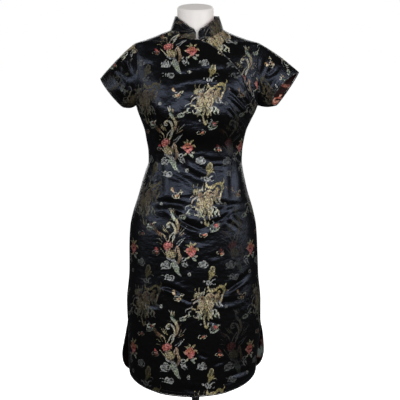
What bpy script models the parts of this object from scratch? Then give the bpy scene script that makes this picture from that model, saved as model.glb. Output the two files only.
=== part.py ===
"""A short-sleeved cheongsam of brocade on a limbless dress form with a pole and a round base.

Metres, +Z up. The dress faces -Y, and +X is the wearer's left. The origin is on the floor under
the middle of the base. Each cut piece of cloth is a closed wall of its own. Every piece of the
dress lies on one surface, whose level sections and folds are in the tables below.
"""

import math

import bmesh
import bpy
import numpy as np

# Cloth
WALL = 0.0016
SEAM_GAP = 0.0003
PIPING_RADIUS = 0.0014
PIPING_GAP = 0.0004
PIPING_SIDES = 5
PIPING_START_SIDE = (0.31, -0.52, 0.80)
SMOOTH_ANGLE = math.radians(50)

# The dress's surface: level sections, each a superellipse, wider or deeper as the cut is.
SECTION_POWER = 2.2
ANGLE_STEP, Z_STEP = 0.012, 0.002
SECTION_COLUMNS = ("z", "half_width", "front_depth", "back_depth", "shift")
SECTIONS = (
    (0.430, 0.1783, 0.1300, 0.1320, -0.0100),
    (0.520, 0.1818, 0.1280, 0.1300, -0.0080),
    (0.600, 0.1878, 0.1260, 0.1280, -0.0038),
    (0.688, 0.1893, 0.1240, 0.1260, -0.0052),
    (0.775, 0.1817, 0.1220, 0.1260, -0.0052),
    (0.861, 0.1796, 0.1190, 0.1260, -0.0064),
    (0.904, 0.1766, 0.1160, 0.1220, -0.0065),
    (0.947, 0.1677, 0.1130, 0.1150, -0.0062),
    (0.975, 0.1590, 0.1100, 0.1080, -0.0055),
    (1.003, 0.1505, 0.1070, 0.0990, -0.0055),
    (1.032, 0.1432, 0.1030, 0.0900, -0.0048),
    (1.060, 0.1360, 0.0990, 0.0820, -0.0032),
    (1.088, 0.1300, 0.0970, 0.0770, -0.0008),
    (1.116, 0.1310, 0.0985, 0.0760, -0.0006),
    (1.144, 0.1354, 0.1025, 0.0790, -0.0008),
    (1.172, 0.1412, 0.1090, 0.0850, 0.0000),
    (1.200, 0.1524, 0.1160, 0.0920, 0.0015),
    (1.228, 0.1645, 0.1200, 0.0990, 0.0032),
    (1.262, 0.1750, 0.1190, 0.1040, 0.0044),
    (1.300, 0.1840, 0.1110, 0.1060, 0.0050),
    (1.340, 0.1880, 0.0990, 0.1040, 0.0050),
    (1.375, 0.1870, 0.0860, 0.0980, 0.0050),
    (1.400, 0.1800, 0.0735, 0.0900, 0.0050),
    (1.411, 0.1745, 0.0685, 0.0850, 0.0050),
    (1.422, 0.1412, 0.0645, 0.0790, 0.0036),
    (1.4355, 0.1050, 0.0600, 0.0690, 0.0030),
    (1.4500, 0.0735, 0.0550, 0.0600, 0.0045),
    (1.4660, 0.0600, 0.0500, 0.0550, 0.0045),
)
BUST_X, BUST_Z = 0.085, 1.212
BUST_SPREAD_X, BUST_SPREAD_Z, BUST_RISE = 0.042, 0.046, 0.010

# Below the slits the back panel stands wider than the front one.
SLIT_TOP = 0.640
SLIT_OPENING = 0.0260
SLIT_OPENING_LENGTH = 0.026
BACK_FLARE_COLUMNS = ("z", "extra_half_width")
BACK_FLARE = (
    (0.430, 0.0210),
    (0.490, 0.0205),
    (0.530, 0.0195),
    (0.572, 0.0120),
    (0.600, 0.0060),
    (0.640, 0.0),
    (0.700, 0.0),
)

# The hem's level at shares of the way from the middle of a panel to its slit.
HEM_COLUMNS = ("share", "front_z", "back_z")
HEMS = (
    (0.00, 0.4442, 0.4450),
    (0.27, 0.4500, 0.4490),
    (0.39, 0.4562, 0.4550),
    (0.54, 0.4642, 0.4630),
    (0.66, 0.4718, 0.4730),
    (0.78, 0.4802, 0.4860),
    (0.90, 0.4900, 0.5080),
    (0.96, 0.5030, 0.5250),
    (1.00, 0.5190, 0.5450),
)
FRONT_HEM_TILT, BACK_HEM_TILT = 0.0015, 0.0050

# Neckline, seen from above, and the stand-up collar on it.
NECK_X = 0.0045
NECK_HALF, NECK_FRONT, NECK_BACK = 0.0728, 0.0645, 0.0580
NECK_POWER_FRONT, NECK_POWER_BACK = 2.7, 2.3
NECKLINE_HALVINGS = 40
COLLAR_TOP_HALF, COLLAR_TOP_FRONT, COLLAR_TOP_BACK = 0.0612, 0.0590, 0.0540
COLLAR_FRONT_Z, COLLAR_SIDE_Z, COLLAR_BACK_Z = 1.4492, 1.4845, 1.4910
COLLAR_RISE_POWER = 1.3
COLLAR_GAP = 0.0052
COLLAR_CORNER = 0.008
COLLAR_NOTCH_REACH, COLLAR_UPRIGHT_REACH = 0.13, 0.5
COLLAR_ROWS = 3
NOTCH_STEPS = (0.0, 0.018, 0.050, 0.100)

# Armholes: half the distance between the armhole seams at each level, about the body's middle.
UNDERARM_Z, TIP_Z = 1.2425, 1.411
ARMHOLE_COLUMNS = ("z", "half_width")
ARMHOLES = (
    (1.2425, 0.1695),
    (1.262, 0.1655),
    (1.304, 0.1645),
    (1.340, 0.1630),
    (1.370, 0.1640),
    (1.395, 0.1695),
    (1.411, 0.1745),
)
ARM_LEVELS = 12

# Sleeves: the cuff's top and bottom corners, and how far its front and back edges stand off them.
SLEEVES = {
    "sleeve_right": {
        "side": -1,
        "top": (-0.2628, 0.0, 1.3175),
        "bottom": (-0.1972, 0.0, 1.2355),
        "front": (-0.0015, -0.0420, -0.0035),
        "back": (0.0100, 0.0400, 0.0060),
    },
    "sleeve_left": {
        "side": 1,
        "top": (0.2855, 0.0, 1.3345),
        "bottom": (0.2235, 0.0, 1.2405),
        "front": (-0.0330, -0.0420, -0.0050),
        "back": (0.0080, 0.0400, 0.0010),
    },
}
CUFF_POINTEDNESS = 1.2
SLEEVE_ROWS = 6
SLEEVE_FULLNESS = 0.004

# The front's overlap opens along this line, from the collar's notch to the wearer's left underarm.
PLACKET_COLUMNS = ("x", "z")
PLACKET = (
    (0.0044, 1.4560),
    (0.0048, 1.4240),
    (0.0150, 1.4185),
    (0.0300, 1.4130),
    (0.0479, 1.4029),
    (0.0784, 1.3781),
    (0.1019, 1.3544),
    (0.1229, 1.3280),
    (0.1367, 1.3010),
    (0.1524, 1.2720),
    (0.1640, 1.2530),
    (0.1740, 1.2400),
    (0.1900, 1.2200),
)
PLACKET_POINTS = 48
PLACKET_PIPING_TOP, PLACKET_PIPING_END = 1.4175, 0.05
CUTTER_RIGHT, CUTTER_TOP, CUTTER_FRONT = 0.30, 1.60, -0.25

# The largest folds: each a soft trough along a bent line, seen from the front or the back.
FOLD_COLUMNS = ("facing", "x0", "z0", "x1", "z1", "x2", "z2", "width", "depth")
FOLDS = (
    ("front", -0.070, 1.306, 0.013, 1.332, 0.095, 1.324, 0.012, 0.0040),
    ("front", -0.060, 1.283, 0.000, 1.302, 0.060, 1.300, 0.012, 0.0030),
    ("front", 0.086, 1.290, 0.120, 1.258, 0.156, 1.214, 0.010, 0.0038),
    ("front", 0.078, 1.262, 0.108, 1.232, 0.142, 1.190, 0.010, 0.0030),
    ("front", -0.124, 1.262, -0.116, 1.200, -0.100, 1.130, 0.011, 0.0040),
    ("front", 0.088, 1.162, 0.112, 1.118, 0.130, 1.074, 0.009, 0.0030),
    ("front", -0.045, 1.078, 0.000, 1.050, 0.044, 1.030, 0.012, 0.0026),
    ("front", -0.094, 1.110, -0.096, 1.040, -0.094, 0.970, 0.010, 0.0036),
    ("front", 0.099, 1.092, 0.101, 1.028, 0.099, 0.966, 0.010, 0.0036),
    ("front", -0.125, 0.973, -0.075, 0.978, -0.020, 0.974, 0.010, 0.0036),
    ("front", 0.030, 0.974, 0.090, 0.970, 0.160, 0.968, 0.010, 0.0034),
    ("front", -0.069, 0.966, -0.032, 0.930, 0.018, 0.912, 0.012, 0.0046),
    ("front", 0.018, 0.912, 0.064, 0.930, 0.104, 0.962, 0.012, 0.0042),
    ("front", -0.090, 0.756, -0.050, 0.738, -0.012, 0.712, 0.012, 0.0034),
    ("front", 0.156, 0.784, 0.114, 0.758, 0.074, 0.728, 0.012, 0.0036),
    ("back", -0.110, 1.330, 0.000, 1.346, 0.112, 1.328, 0.014, 0.0034),
    ("back", -0.130, 1.200, -0.085, 1.150, -0.050, 1.105, 0.013, 0.0034),
    ("back", 0.134, 1.196, 0.092, 1.152, 0.044, 1.098, 0.013, 0.0032),
    ("back", -0.110, 1.060, 0.000, 1.020, 0.108, 1.064, 0.014, 0.0042),
    ("back", -0.080, 1.012, 0.005, 0.978, 0.092, 1.008, 0.014, 0.0036),
    ("back", -0.130, 0.720, -0.060, 0.700, -0.020, 0.660, 0.015, 0.0032),
    ("back", 0.134, 0.736, 0.080, 0.706, 0.036, 0.680, 0.015, 0.0030),
)
FOLD_STEPS = 8
FOLD_END, FOLD_FADE = 0.04, 0.7
RIDGE_SHARE, RIDGE_AT = 0.42, 1.9
SEAM_FADE = 10

# Grids: intervals across each panel and down its hem and neck zones, and the levels between.
FRONT_ACROSS, BACK_ACROSS = 26, 20
FRONT_ROWS = {
    "hem": 7,
    "levels": (
        0.660, 0.690, 0.712, 0.730, 0.748, 0.768, 0.795, 0.830, 0.865, 0.892, 0.910, 0.926,
        0.942, 0.956, 0.970, 0.985, 1.005, 1.024, 1.042, 1.062, 1.088, 1.114, 1.140, 1.164,
        1.186, 1.206, 1.224,
    ),
    "neck": 5,
}
BACK_ROWS = {
    "hem": 6,
    "levels": (
        0.660, 0.690, 0.720, 0.760, 0.810, 0.860, 0.905, 0.945, 0.975, 0.995, 1.015, 1.035,
        1.058, 1.085, 1.115, 1.150, 1.185, 1.214,
    ),
    "neck": 4,
}
EDGE_CROWDING = 0.55

# Dress form
FORM_CLEARANCE = 0.0085
FORM_BOTTOM, FORM_BOTTOM_ROUND = 0.775, 0.028
FORM_ARM_LIMIT, FORM_ARM_SOFTNESS = 0.160, 0.014
FORM_TOP_OF_SHOULDERS = 1.4485
FORM_AROUND = 32
FORM_LEVELS = 18
NECK_FORM_X, NECK_FORM_Y, NECK_FORM_RADIUS = 0.0, -0.002, 0.051
NECK_FORM_BASE_Z, NECK_FORM_STRAIGHT_Z = 1.460, 1.478
NECK_FORM_TOP_Z, NECK_FORM_TOP_SLOPE = 1.5132, 0.239
NECK_FORM_RIM, NECK_FORM_FOOT = 0.007, 0.0006
EDGE_TURNS = (0, 30, 60, 90)

# Stand: each piece's profile from its own foot up.
STAND_X = 0.0
STAND_GAP = 0.0003
ROUND_STEPS = 32
PROFILE_COLUMNS = ("radius", "z")
BASE_PROFILE = (
    (0.0, 0.0),
    (0.188, 0.0),
    (0.190, 0.002),
    (0.190, 0.006),
    (0.187, 0.008),
    (0.100, 0.012),
    (0.050, 0.016),
    (0.0, 0.016),
)
HUB_PROFILE = (
    (0.0114, 0.0),
    (0.026, 0.0),
    (0.026, 0.033),
    (0.018, 0.045),
    (0.0114, 0.045),
)
POLE_RADIUS = 0.011
FLANGE_RADIUS, FLANGE_THICKNESS = 0.045, 0.005

COLOURS = {
    "brocade": ((0.020, 0.022, 0.032), 0.32, 0.0),
    "piping": ((0.012, 0.012, 0.016), 0.35, 0.0),
    "form": ((0.82, 0.82, 0.82), 0.45, 0.0),
    "stand": ((0.015, 0.015, 0.016), 0.30, 0.6),
}


def clear_scene():
    for obj in list(bpy.data.objects):
        bpy.data.objects.remove(obj, do_unlink=True)


def material(name):
    colour, roughness, metallic = COLOURS[name]
    found = bpy.data.materials.get(name)
    if found:
        return found
    made = bpy.data.materials.new(name)
    made.use_nodes = True
    shader = made.node_tree.nodes["Principled BSDF"]
    shader.inputs["Base Color"].default_value = (*colour, 1.0)
    shader.inputs["Roughness"].default_value = roughness
    shader.inputs["Metallic"].default_value = metallic
    return made


# ---------------------------------------------------------------- tables


def column(columns, rows, name):
    return np.array([row[columns.index(name)] for row in rows], float)


def smooth_curve(knots, values, at):
    """A smooth curve through the knots that never overshoots them."""
    at = np.clip(np.asarray(at, float), knots[0], knots[-1])
    steps = np.diff(knots)
    rises = np.diff(values) / steps
    slopes = np.zeros(len(knots))
    slopes[0], slopes[-1] = rises[0], rises[-1]
    for i in range(1, len(knots) - 1):
        if rises[i - 1] * rises[i] > 0:
            before, after = steps[i - 1], steps[i]
            share = (before + 2 * after) / (3 * (before + after))
            slopes[i] = rises[i - 1] * rises[i] / (share * rises[i] + (1 - share) * rises[i - 1])
    i = np.clip(np.searchsorted(knots, at, side="right") - 1, 0, len(steps) - 1)
    h = steps[i]
    t = (at - knots[i]) / h
    start = (1 + 2 * t) * (1 - t) ** 2 * values[i] + t**2 * (3 - 2 * t) * values[i + 1]
    return start + t * (1 - t) ** 2 * h * slopes[i] - t**2 * (1 - t) * h * slopes[i + 1]


def section(name, z):
    return smooth_curve(
        column(SECTION_COLUMNS, SECTIONS, "z"), column(SECTION_COLUMNS, SECTIONS, name), z
    )


def back_flare(z):
    return smooth_curve(
        column(BACK_FLARE_COLUMNS, BACK_FLARE, "z"),
        column(BACK_FLARE_COLUMNS, BACK_FLARE, "extra_half_width"),
        z,
    )


# ---------------------------------------------------------------- the dress's surface


def signed_power(value, power):
    return np.sign(value) * np.abs(value) ** power


def smooth_point(angle, z):
    """The dress's surface without folds. angle is 0 at the front, a quarter turn at +X."""
    angle, z = np.broadcast_arrays(np.asarray(angle, float), np.asarray(z, float))
    across = signed_power(np.sin(angle), 2 / SECTION_POWER)
    along = signed_power(np.cos(angle), 2 / SECTION_POWER)
    is_front = along >= 0
    half = section("half_width", z) + np.where(is_front, 0.0, back_flare(z))
    depth = np.where(is_front, section("front_depth", z), section("back_depth", z))
    x = section("shift", z) + half * across
    y = -depth * along
    bust_x, bust_z = (np.abs(x) - BUST_X) / BUST_SPREAD_X, (z - BUST_Z) / BUST_SPREAD_Z
    rise = BUST_RISE * np.exp(-(bust_x**2) - bust_z**2) * np.clip(along, 0, 1)
    return np.stack([x, y - rise, z], axis=-1)


def normal_from(function, angle, z):
    around = function(angle + ANGLE_STEP, z) - function(angle - ANGLE_STEP, z)
    up = function(angle, z + Z_STEP) - function(angle, z - Z_STEP)
    normal = np.cross(around, up)
    return normal / np.linalg.norm(normal, axis=-1, keepdims=True)


def fold_line(fold):
    """Points along a fold's bent line, which passes through its three named points."""
    t = np.linspace(0, 1, FOLD_STEPS + 1)
    start, middle, end = 2 * (t - 0.5) * (t - 1), 4 * t * (1 - t), 2 * t * (t - 0.5)
    return [
        start * fold[axis + "0"] + middle * fold[axis + "1"] + end * fold[axis + "2"]
        for axis in "xz"
    ]


def fold_offset(x, z, facing):
    """How far the folds move the cloth in or out: a trough with a low ridge on each side."""
    total = np.zeros_like(x)
    for row in FOLDS:
        fold = dict(zip(FOLD_COLUMNS, row))
        if fold["facing"] != facing:
            continue
        nearest = np.full_like(x, np.inf)
        along = np.zeros_like(x)
        line_x, line_z = fold_line(fold)
        for step in range(FOLD_STEPS):
            run, rise = line_x[step + 1] - line_x[step], line_z[step + 1] - line_z[step]
            from_x, from_z = x - line_x[step], z - line_z[step]
            t = np.clip((from_x * run + from_z * rise) / (run**2 + rise**2), 0, 1)
            distance = np.hypot(from_x - t * run, from_z - t * rise)
            along = np.where(distance < nearest, (step + t) / FOLD_STEPS, along)
            nearest = np.minimum(distance, nearest)
        fade = np.sin(np.pi * np.clip(along, FOLD_END, 1 - FOLD_END)) ** FOLD_FADE
        across = nearest / fold["width"]
        ridge = RIDGE_SHARE * np.exp(-((across - RIDGE_AT) ** 2))
        total = total + fold["depth"] * fade * (ridge - np.exp(-(across**2)))
    return total


def folded_point(angle, z):
    """The dress's surface with its folds, which fade out at the side seams."""
    point = smooth_point(angle, z)
    angle = np.broadcast_to(np.asarray(angle, float), point.shape[:-1])
    x, z_flat = point[..., 0], point[..., 2]
    front = fold_offset(x, z_flat, "front")
    back = fold_offset(x, z_flat, "back")
    offset = np.where(np.cos(angle) >= 0, front, back) * (1 - np.abs(np.sin(angle)) ** SEAM_FADE)
    return point + normal_from(smooth_point, angle, z_flat) * offset[..., None]


def folded_normal(angle, z):
    return normal_from(folded_point, angle, z)


def armhole_angle(z):
    """Where the armhole's edge lies on the front half at a level, as an angle from the front."""
    half = smooth_curve(
        column(ARMHOLE_COLUMNS, ARMHOLES, "z"), column(ARMHOLE_COLUMNS, ARMHOLES, "half_width"), z
    )
    share = np.clip(half / section("half_width", z), 0, 1)
    return np.arcsin(share ** (SECTION_POWER / 2))


def neckline(turn):
    """(angle, z) on the dress's surface of the neckline's point at this turn about the neck."""
    is_front = math.cos(turn) >= 0
    depth, power = (NECK_FRONT, NECK_POWER_FRONT) if is_front else (NECK_BACK, NECK_POWER_BACK)
    x = NECK_HALF * float(signed_power(math.sin(turn), 2 / power))
    y = depth * float(abs(math.cos(turn)) ** (2 / power))
    low, high = TIP_Z, SECTIONS[-1][0]
    for _ in range(NECKLINE_HALVINGS):
        z = (low + high) / 2
        body_depth = section("front_depth" if is_front else "back_depth", z)
        across = abs(x + NECK_X - section("shift", z)) / section("half_width", z)
        inside = across**SECTION_POWER + (y / body_depth) ** SECTION_POWER < 1
        low, high = (z, high) if inside else (low, z)
    across = (x + NECK_X - section("shift", z)) / section("half_width", z)
    lift = signed_power(across, SECTION_POWER / 2)
    back = (y / body_depth) ** (SECTION_POWER / 2)
    return math.atan2(lift, back if is_front else -back), z


def hem_height(share, is_back):
    """The hem's level at a share of the way from a panel's middle to its slit."""
    levels = column(HEM_COLUMNS, HEMS, "back_z" if is_back else "front_z")
    level = smooth_curve(column(HEM_COLUMNS, HEMS, "share"), levels, np.abs(share))
    return level + share * (BACK_HEM_TILT if is_back else FRONT_HEM_TILT)


# ---------------------------------------------------------------- grids


def crowded(count):
    """Shares from -1 to 1, closer together towards both ends."""
    t = np.linspace(-1, 1, count + 1)
    return t + EDGE_CROWDING * np.sin(np.pi * t) / np.pi


def arm_levels():
    k = np.arange(ARM_LEVELS + 1) / ARM_LEVELS
    return UNDERARM_Z + (TIP_Z - UNDERARM_Z) * (1 - np.cos(np.pi * k)) / 2


def panel_grid(shares, rows, is_back):
    """(angle, z) of each grid point of a panel, from the hem's row to the neckline's row."""
    turn_of = (lambda s: math.pi - s * math.pi / 2) if is_back else (lambda s: s * math.pi / 2)
    angles, levels = [], []
    flat_turn = np.array([turn_of(s) for s in shares])
    hem = hem_height(shares, is_back)
    for i in range(rows["hem"]):
        share = i / rows["hem"]
        level = hem + (rows["levels"][0] - hem) * share
        drawn_in = SLIT_OPENING * np.clip((SLIT_TOP - level) / SLIT_OPENING_LENGTH, 0, 1)
        opening = shares**3 * drawn_in
        angles.append(flat_turn + opening if is_back else flat_turn - opening)
        levels.append(level)
    for level in rows["levels"]:
        angles.append(flat_turn)
        levels.append(np.full(len(shares), level))
    for z in arm_levels():
        reach = float(armhole_angle(z)) if UNDERARM_Z < z < TIP_Z else math.pi / 2
        flat = shares * reach
        angles.append(math.pi - flat if is_back else flat)
        levels.append(np.full(len(shares), z))
    neck = np.array([neckline(turn) for turn in flat_turn])
    neck_angle, neck_z = np.unwrap(neck[:, 0]), neck[:, 1]
    if is_back:
        neck_angle = np.where(neck_angle < 0, neck_angle + 2 * math.pi, neck_angle)
    for i in range(1, rows["neck"] + 1):
        share = i / rows["neck"]
        angles.append(flat_turn + (neck_angle - flat_turn) * share)
        levels.append(TIP_Z + (neck_z - TIP_Z) * share)
    return np.array(angles), np.array(levels)


def unit(vectors):
    return vectors / np.maximum(np.linalg.norm(vectors, axis=-1, keepdims=True), 1e-12)


def mitre(points, first_normals, second_normals, closed):
    """For a seam between two walls: their shared cut direction, its stretch, and the way across."""
    shared = unit(first_normals + second_normals)
    stretch = 1 / np.clip(np.sum(shared * first_normals, axis=-1), 0.6, 1)
    if closed:
        along = np.roll(points, -1, axis=0) - np.roll(points, 1, axis=0)
    else:
        along = np.gradient(points, axis=0)
    return shared, stretch, unit(np.cross(shared, along))


def shell(name, middle, normals, stretch, across_closed, colour):
    """A closed wall about a grid of points, each moved half the wall out and in along its normal."""
    reach = normals * (stretch * WALL / 2)[..., None]
    sheets = (middle + reach, middle - reach)
    rows, columns = middle.shape[:2]
    mesh = bmesh.new()
    outer, inner = (
        [[mesh.verts.new(sheet[r, c]) for c in range(columns)] for r in range(rows)]
        for sheet in sheets
    )
    spans = columns if across_closed else columns - 1
    for r in range(rows - 1):
        for c in range(spans):
            d = (c + 1) % columns
            mesh.faces.new((outer[r][c], outer[r][d], outer[r + 1][d], outer[r + 1][c]))
            mesh.faces.new((inner[r][c], inner[r + 1][c], inner[r + 1][d], inner[r][d]))
    for c in range(spans):
        d = (c + 1) % columns
        mesh.faces.new((outer[0][c], inner[0][c], inner[0][d], outer[0][d]))
        mesh.faces.new((outer[-1][c], outer[-1][d], inner[-1][d], inner[-1][c]))
    if not across_closed:
        for r in range(rows - 1):
            mesh.faces.new((outer[r][0], outer[r + 1][0], inner[r + 1][0], inner[r][0]))
            mesh.faces.new((outer[r][-1], inner[r][-1], inner[r + 1][-1], outer[r + 1][-1]))
    return finish_mesh(name, mesh, colour)


def finish_mesh(name, mesh, colour):
    bmesh.ops.recalc_face_normals(mesh, faces=mesh.faces)
    data = bpy.data.meshes.new(name)
    mesh.to_mesh(data)
    mesh.free()
    data.shade_smooth()
    data.set_sharp_from_angle(angle=SMOOTH_ANGLE)
    data.materials.append(material(colour))
    obj = bpy.data.objects.new(name, data)
    bpy.context.scene.collection.objects.link(obj)
    return obj


# ---------------------------------------------------------------- seams


def armhole_seam(side):
    """The armhole's points, from the underarm up the front to the shoulder and down the back."""
    levels = arm_levels()
    angles = [float(armhole_angle(z)) for z in levels[1:-1]]
    front = [math.pi / 2, *angles, math.pi / 2]
    back = [math.pi - a for a in reversed(angles)]
    loop_angles = side * np.array(front + back)
    loop_levels = np.concatenate([levels, levels[-2:0:-1]])
    return loop_angles, loop_levels


def sleeve_surface(shape):
    """The sleeve's middle surface and normals: rows from armhole to cuff, columns round it."""
    angles, levels = armhole_seam(shape["side"])
    armhole = folded_point(angles, levels)
    lengths = np.linalg.norm(np.roll(armhole, -1, axis=0) - armhole, axis=1)
    up = np.concatenate([[0], np.cumsum(lengths[:ARM_LEVELS])])
    down = np.concatenate([[0], np.cumsum(lengths[ARM_LEVELS:])])
    turns = np.concatenate([np.pi * (1 - up / up[-1]), -np.pi * (down / down[-1])[1:-1]])
    corner_top, corner_bottom = np.array(shape["top"]), np.array(shape["bottom"])
    centre, rise = (corner_top + corner_bottom) / 2, (corner_top - corner_bottom) / 2
    swing = np.abs(np.sin(turns)) ** CUFF_POINTEDNESS
    is_front = np.sin(turns)[:, None] >= 0
    sideways = np.where(is_front, np.array(shape["front"]), np.array(shape["back"]))
    cuff = centre + np.cos(turns)[:, None] * rise + swing[:, None] * sideways
    middle = (armhole + cuff) / 2
    outward = unit(middle - middle.mean(axis=0)) * SLEEVE_FULLNESS
    share = np.linspace(0, 1, SLEEVE_ROWS + 1)[:, None, None]
    grid = armhole * (1 - share) + cuff * share + outward * 4 * share * (1 - share)
    around = np.roll(grid, -1, axis=1) - np.roll(grid, 1, axis=1)
    normals = unit(np.cross(around, np.gradient(grid, axis=0)))
    outside = np.sum(normals * (grid - grid.mean(axis=1, keepdims=True))) > 0
    return grid, normals if outside else -normals


def armhole_mitre(shape):
    """(shared direction, stretch, way out of the body) at each point of the armhole seam."""
    grid, normals = sleeve_surface(shape)
    angles, levels = armhole_seam(shape["side"])
    shared, stretch, across = mitre(grid[0], folded_normal(angles, levels), normals[0], True)
    outward = np.sign(np.sum(across * (grid[2] - grid[0]), axis=-1, keepdims=True))
    return shared, stretch, across * outward


def panel_turns(across, is_back):
    flat = crowded(across) * math.pi / 2
    return math.pi - flat if is_back else flat


def collar_rim(turns):
    """The collar's top edge, without its rounded corners."""
    is_front = np.cos(turns) >= 0
    side = np.abs(np.sin(turns)) ** COLLAR_RISE_POWER
    low_z = np.where(is_front, COLLAR_FRONT_Z, COLLAR_BACK_Z)
    depth = np.where(is_front, COLLAR_TOP_FRONT, COLLAR_TOP_BACK)
    x = NECK_X + COLLAR_TOP_HALF * signed_power(np.sin(turns), 2 / SECTION_POWER)
    y = -depth * signed_power(np.cos(turns), 2 / SECTION_POWER)
    return np.stack([x, y, low_z + (COLLAR_SIDE_Z - low_z) * side], axis=-1)


def neck_seam():
    """Each of the panels' points round the neckline: its turn, place, shared cut direction,
    stretch and way up into the collar, with one turn more at either end."""
    both = np.concatenate([panel_turns(FRONT_ACROSS, False), panel_turns(BACK_ACROSS, True)])
    once = np.unique(np.round(np.mod(both, 2 * math.pi), 9))
    turns = np.concatenate([once - 2 * math.pi, once, once + 2 * math.pi])
    angles, levels = np.array([neckline(turn) for turn in turns]).T
    base = folded_point(angles, levels)
    outward = base - np.array([NECK_X, 0.0, 0.0])
    outward[:, 2] = 0
    collar_normals = unit(np.cross(np.gradient(base, axis=0), collar_rim(turns) - base))
    collar_normals *= np.sign(np.sum(collar_normals * outward, axis=-1, keepdims=True))
    shared, stretch, across = mitre(base, folded_normal(angles, levels), collar_normals, False)
    return turns, base, shared, stretch, across * np.sign(across[:, 2:3])


def between(turns, known_turns, values):
    """Values known at some turns, on straight lines between them."""
    if values.ndim == 1:
        return np.interp(turns, known_turns, values)
    return np.stack([np.interp(turns, known_turns, part) for part in values.T], axis=-1)


# ---------------------------------------------------------------- pieces of the dress


def panel_surface(across, rows, is_back):
    """The middle surface, normals and stretches of the front or the back, edges on the mitre."""
    angles, levels = panel_grid(crowded(across), rows, is_back)
    middle = folded_point(angles, levels)
    normals = folded_normal(angles, levels)
    stretch = np.ones(middle.shape[:2])
    first_arm = rows["hem"] + len(rows["levels"])
    half_gap = SEAM_GAP / 2
    for shape in SLEEVES.values():
        shared, seam_stretch, out = armhole_mitre(shape)
        edge = 0 if shape["side"] < 0 else -1
        for k in range(ARM_LEVELS + 1):
            i = -k % len(shared) if is_back else k
            normals[first_arm + k, edge] = shared[i]
            stretch[first_arm + k, edge] = seam_stretch[i]
            middle[first_arm + k, edge] -= out[i] * half_gap
    turns, _, shared, seam_stretch, up = neck_seam()
    at = np.mod(panel_turns(across, is_back), 2 * math.pi)
    normals[-1] = between(at, turns, shared)
    stretch[-1] = between(at, turns, seam_stretch)
    middle[-1] -= between(at, turns, up) * half_gap
    side_rows = [*range(first_arm + 1), *range(first_arm + ARM_LEVELS, len(middle))]
    for row in side_rows:
        middle[row, [0, -1], 1] += half_gap if is_back else -half_gap
    return middle, normals, stretch


def sleeve(name, shape):
    grid, normals = sleeve_surface(shape)
    stretch = np.ones(grid.shape[:2])
    shared, seam_stretch, out = armhole_mitre(shape)
    grid[0] += out * SEAM_GAP / 2
    normals[0] = shared
    stretch[0] = seam_stretch
    shell(name, grid, normals, stretch, True, "brocade")
    piping = name.replace("sleeve", "cuff_piping")
    edge_piping(piping, grid[-1], normals[-1], grid[-2], True)


def collar_surface():
    """The collar's middle surface, normals and stretches, from one side of the notch round."""
    seam_turns, seam_base, seam_shared, seam_stretch, seam_up = neck_seam()
    notch = math.asin((COLLAR_GAP / 2) / NECK_HALF)
    corner = notch + np.array(NOTCH_STEPS)
    far = seam_turns > COLLAR_NOTCH_REACH
    rest = seam_turns[far & (seam_turns < 2 * math.pi - COLLAR_NOTCH_REACH)]
    turns = np.concatenate([corner, rest, 2 * math.pi - corner[::-1]])
    base = between(turns, seam_turns, seam_base)
    rim = collar_rim(turns)
    from_notch = np.minimum(turns, 2 * math.pi - turns) - notch
    inset = np.clip(COLLAR_CORNER - from_notch * COLLAR_TOP_FRONT, 0, COLLAR_CORNER)
    rim[:, 2] -= COLLAR_CORNER - np.sqrt(COLLAR_CORNER**2 - inset**2)
    near = np.clip(1 - from_notch / COLLAR_UPRIGHT_REACH, 0, 1)
    rim[:, 0] += (base[:, 0] - rim[:, 0]) * near
    share = np.linspace(0, 1, COLLAR_ROWS + 1)[:, None, None]
    grid = base * (1 - share) + rim * share
    normals = unit(np.cross(np.gradient(grid, axis=1), np.gradient(grid, axis=0)))
    level = grid - np.array([NECK_X, 0.0, 0.0])
    level[..., 2] = 0
    if np.sum(normals * level) < 0:
        normals = -normals
    stretch = np.ones(grid.shape[:2])
    normals[0] = between(turns, seam_turns, seam_shared)
    stretch[0] = between(turns, seam_turns, seam_stretch)
    grid[0] += between(turns, seam_turns, seam_up) * SEAM_GAP / 2
    return grid, normals, stretch


def collar():
    """The stand-up collar, and the piping up its notch and round its top."""
    grid, normals, stretch = collar_surface()
    shell("collar", grid, normals, stretch, False, "brocade")
    last = COLLAR_ROWS
    rows = [*range(1, last), *[last] * grid.shape[1], *range(last - 1, 0, -1)]
    columns = [*[0] * (last - 1), *range(grid.shape[1]), *[-1] * (last - 1)]
    inside = np.clip(np.array(rows) - 1, 1, last - 1)
    inner_columns = np.clip(np.mod(columns, grid.shape[1]), 3, grid.shape[1] - 4)
    edge_piping(
        "collar_piping", grid[rows, columns], normals[rows, columns],
        grid[inside, inner_columns], False,
    )


def placket_line():
    """(x, z) points of the opening, evenly spread along the table's smooth curve."""
    xs = column(PLACKET_COLUMNS, PLACKET, "x")
    zs = column(PLACKET_COLUMNS, PLACKET, "z")
    lengths = np.concatenate([[0], np.cumsum(np.hypot(np.diff(xs), np.diff(zs)))])
    at = np.linspace(0, lengths[-1], PLACKET_POINTS)
    return np.stack([smooth_curve(lengths, xs, at), smooth_curve(lengths, zs, at)], axis=-1)


def placket_cutter(name, shift):
    """A prism over all that lies past the opening, towards the wearer's left, moved by shift."""
    line = placket_line()
    along = unit(np.gradient(line, axis=0))
    line = line + np.stack([-along[:, 1], along[:, 0]], axis=-1) * shift
    outline = [*line, (CUTTER_RIGHT, line[-1][1]), (CUTTER_RIGHT, CUTTER_TOP)]
    outline.append((line[0][0], CUTTER_TOP))
    mesh = bmesh.new()
    face = mesh.faces.new([mesh.verts.new((x, CUTTER_FRONT, z)) for x, z in outline])
    for part in bmesh.ops.extrude_face_region(mesh, geom=[face])["geom"]:
        if isinstance(part, bmesh.types.BMVert):
            part.co.y = 0.0
    cutter = finish_mesh(name, mesh, "stand")
    cutter.hide_render = True
    cutter.display_type = "WIRE"
    return cutter


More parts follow.
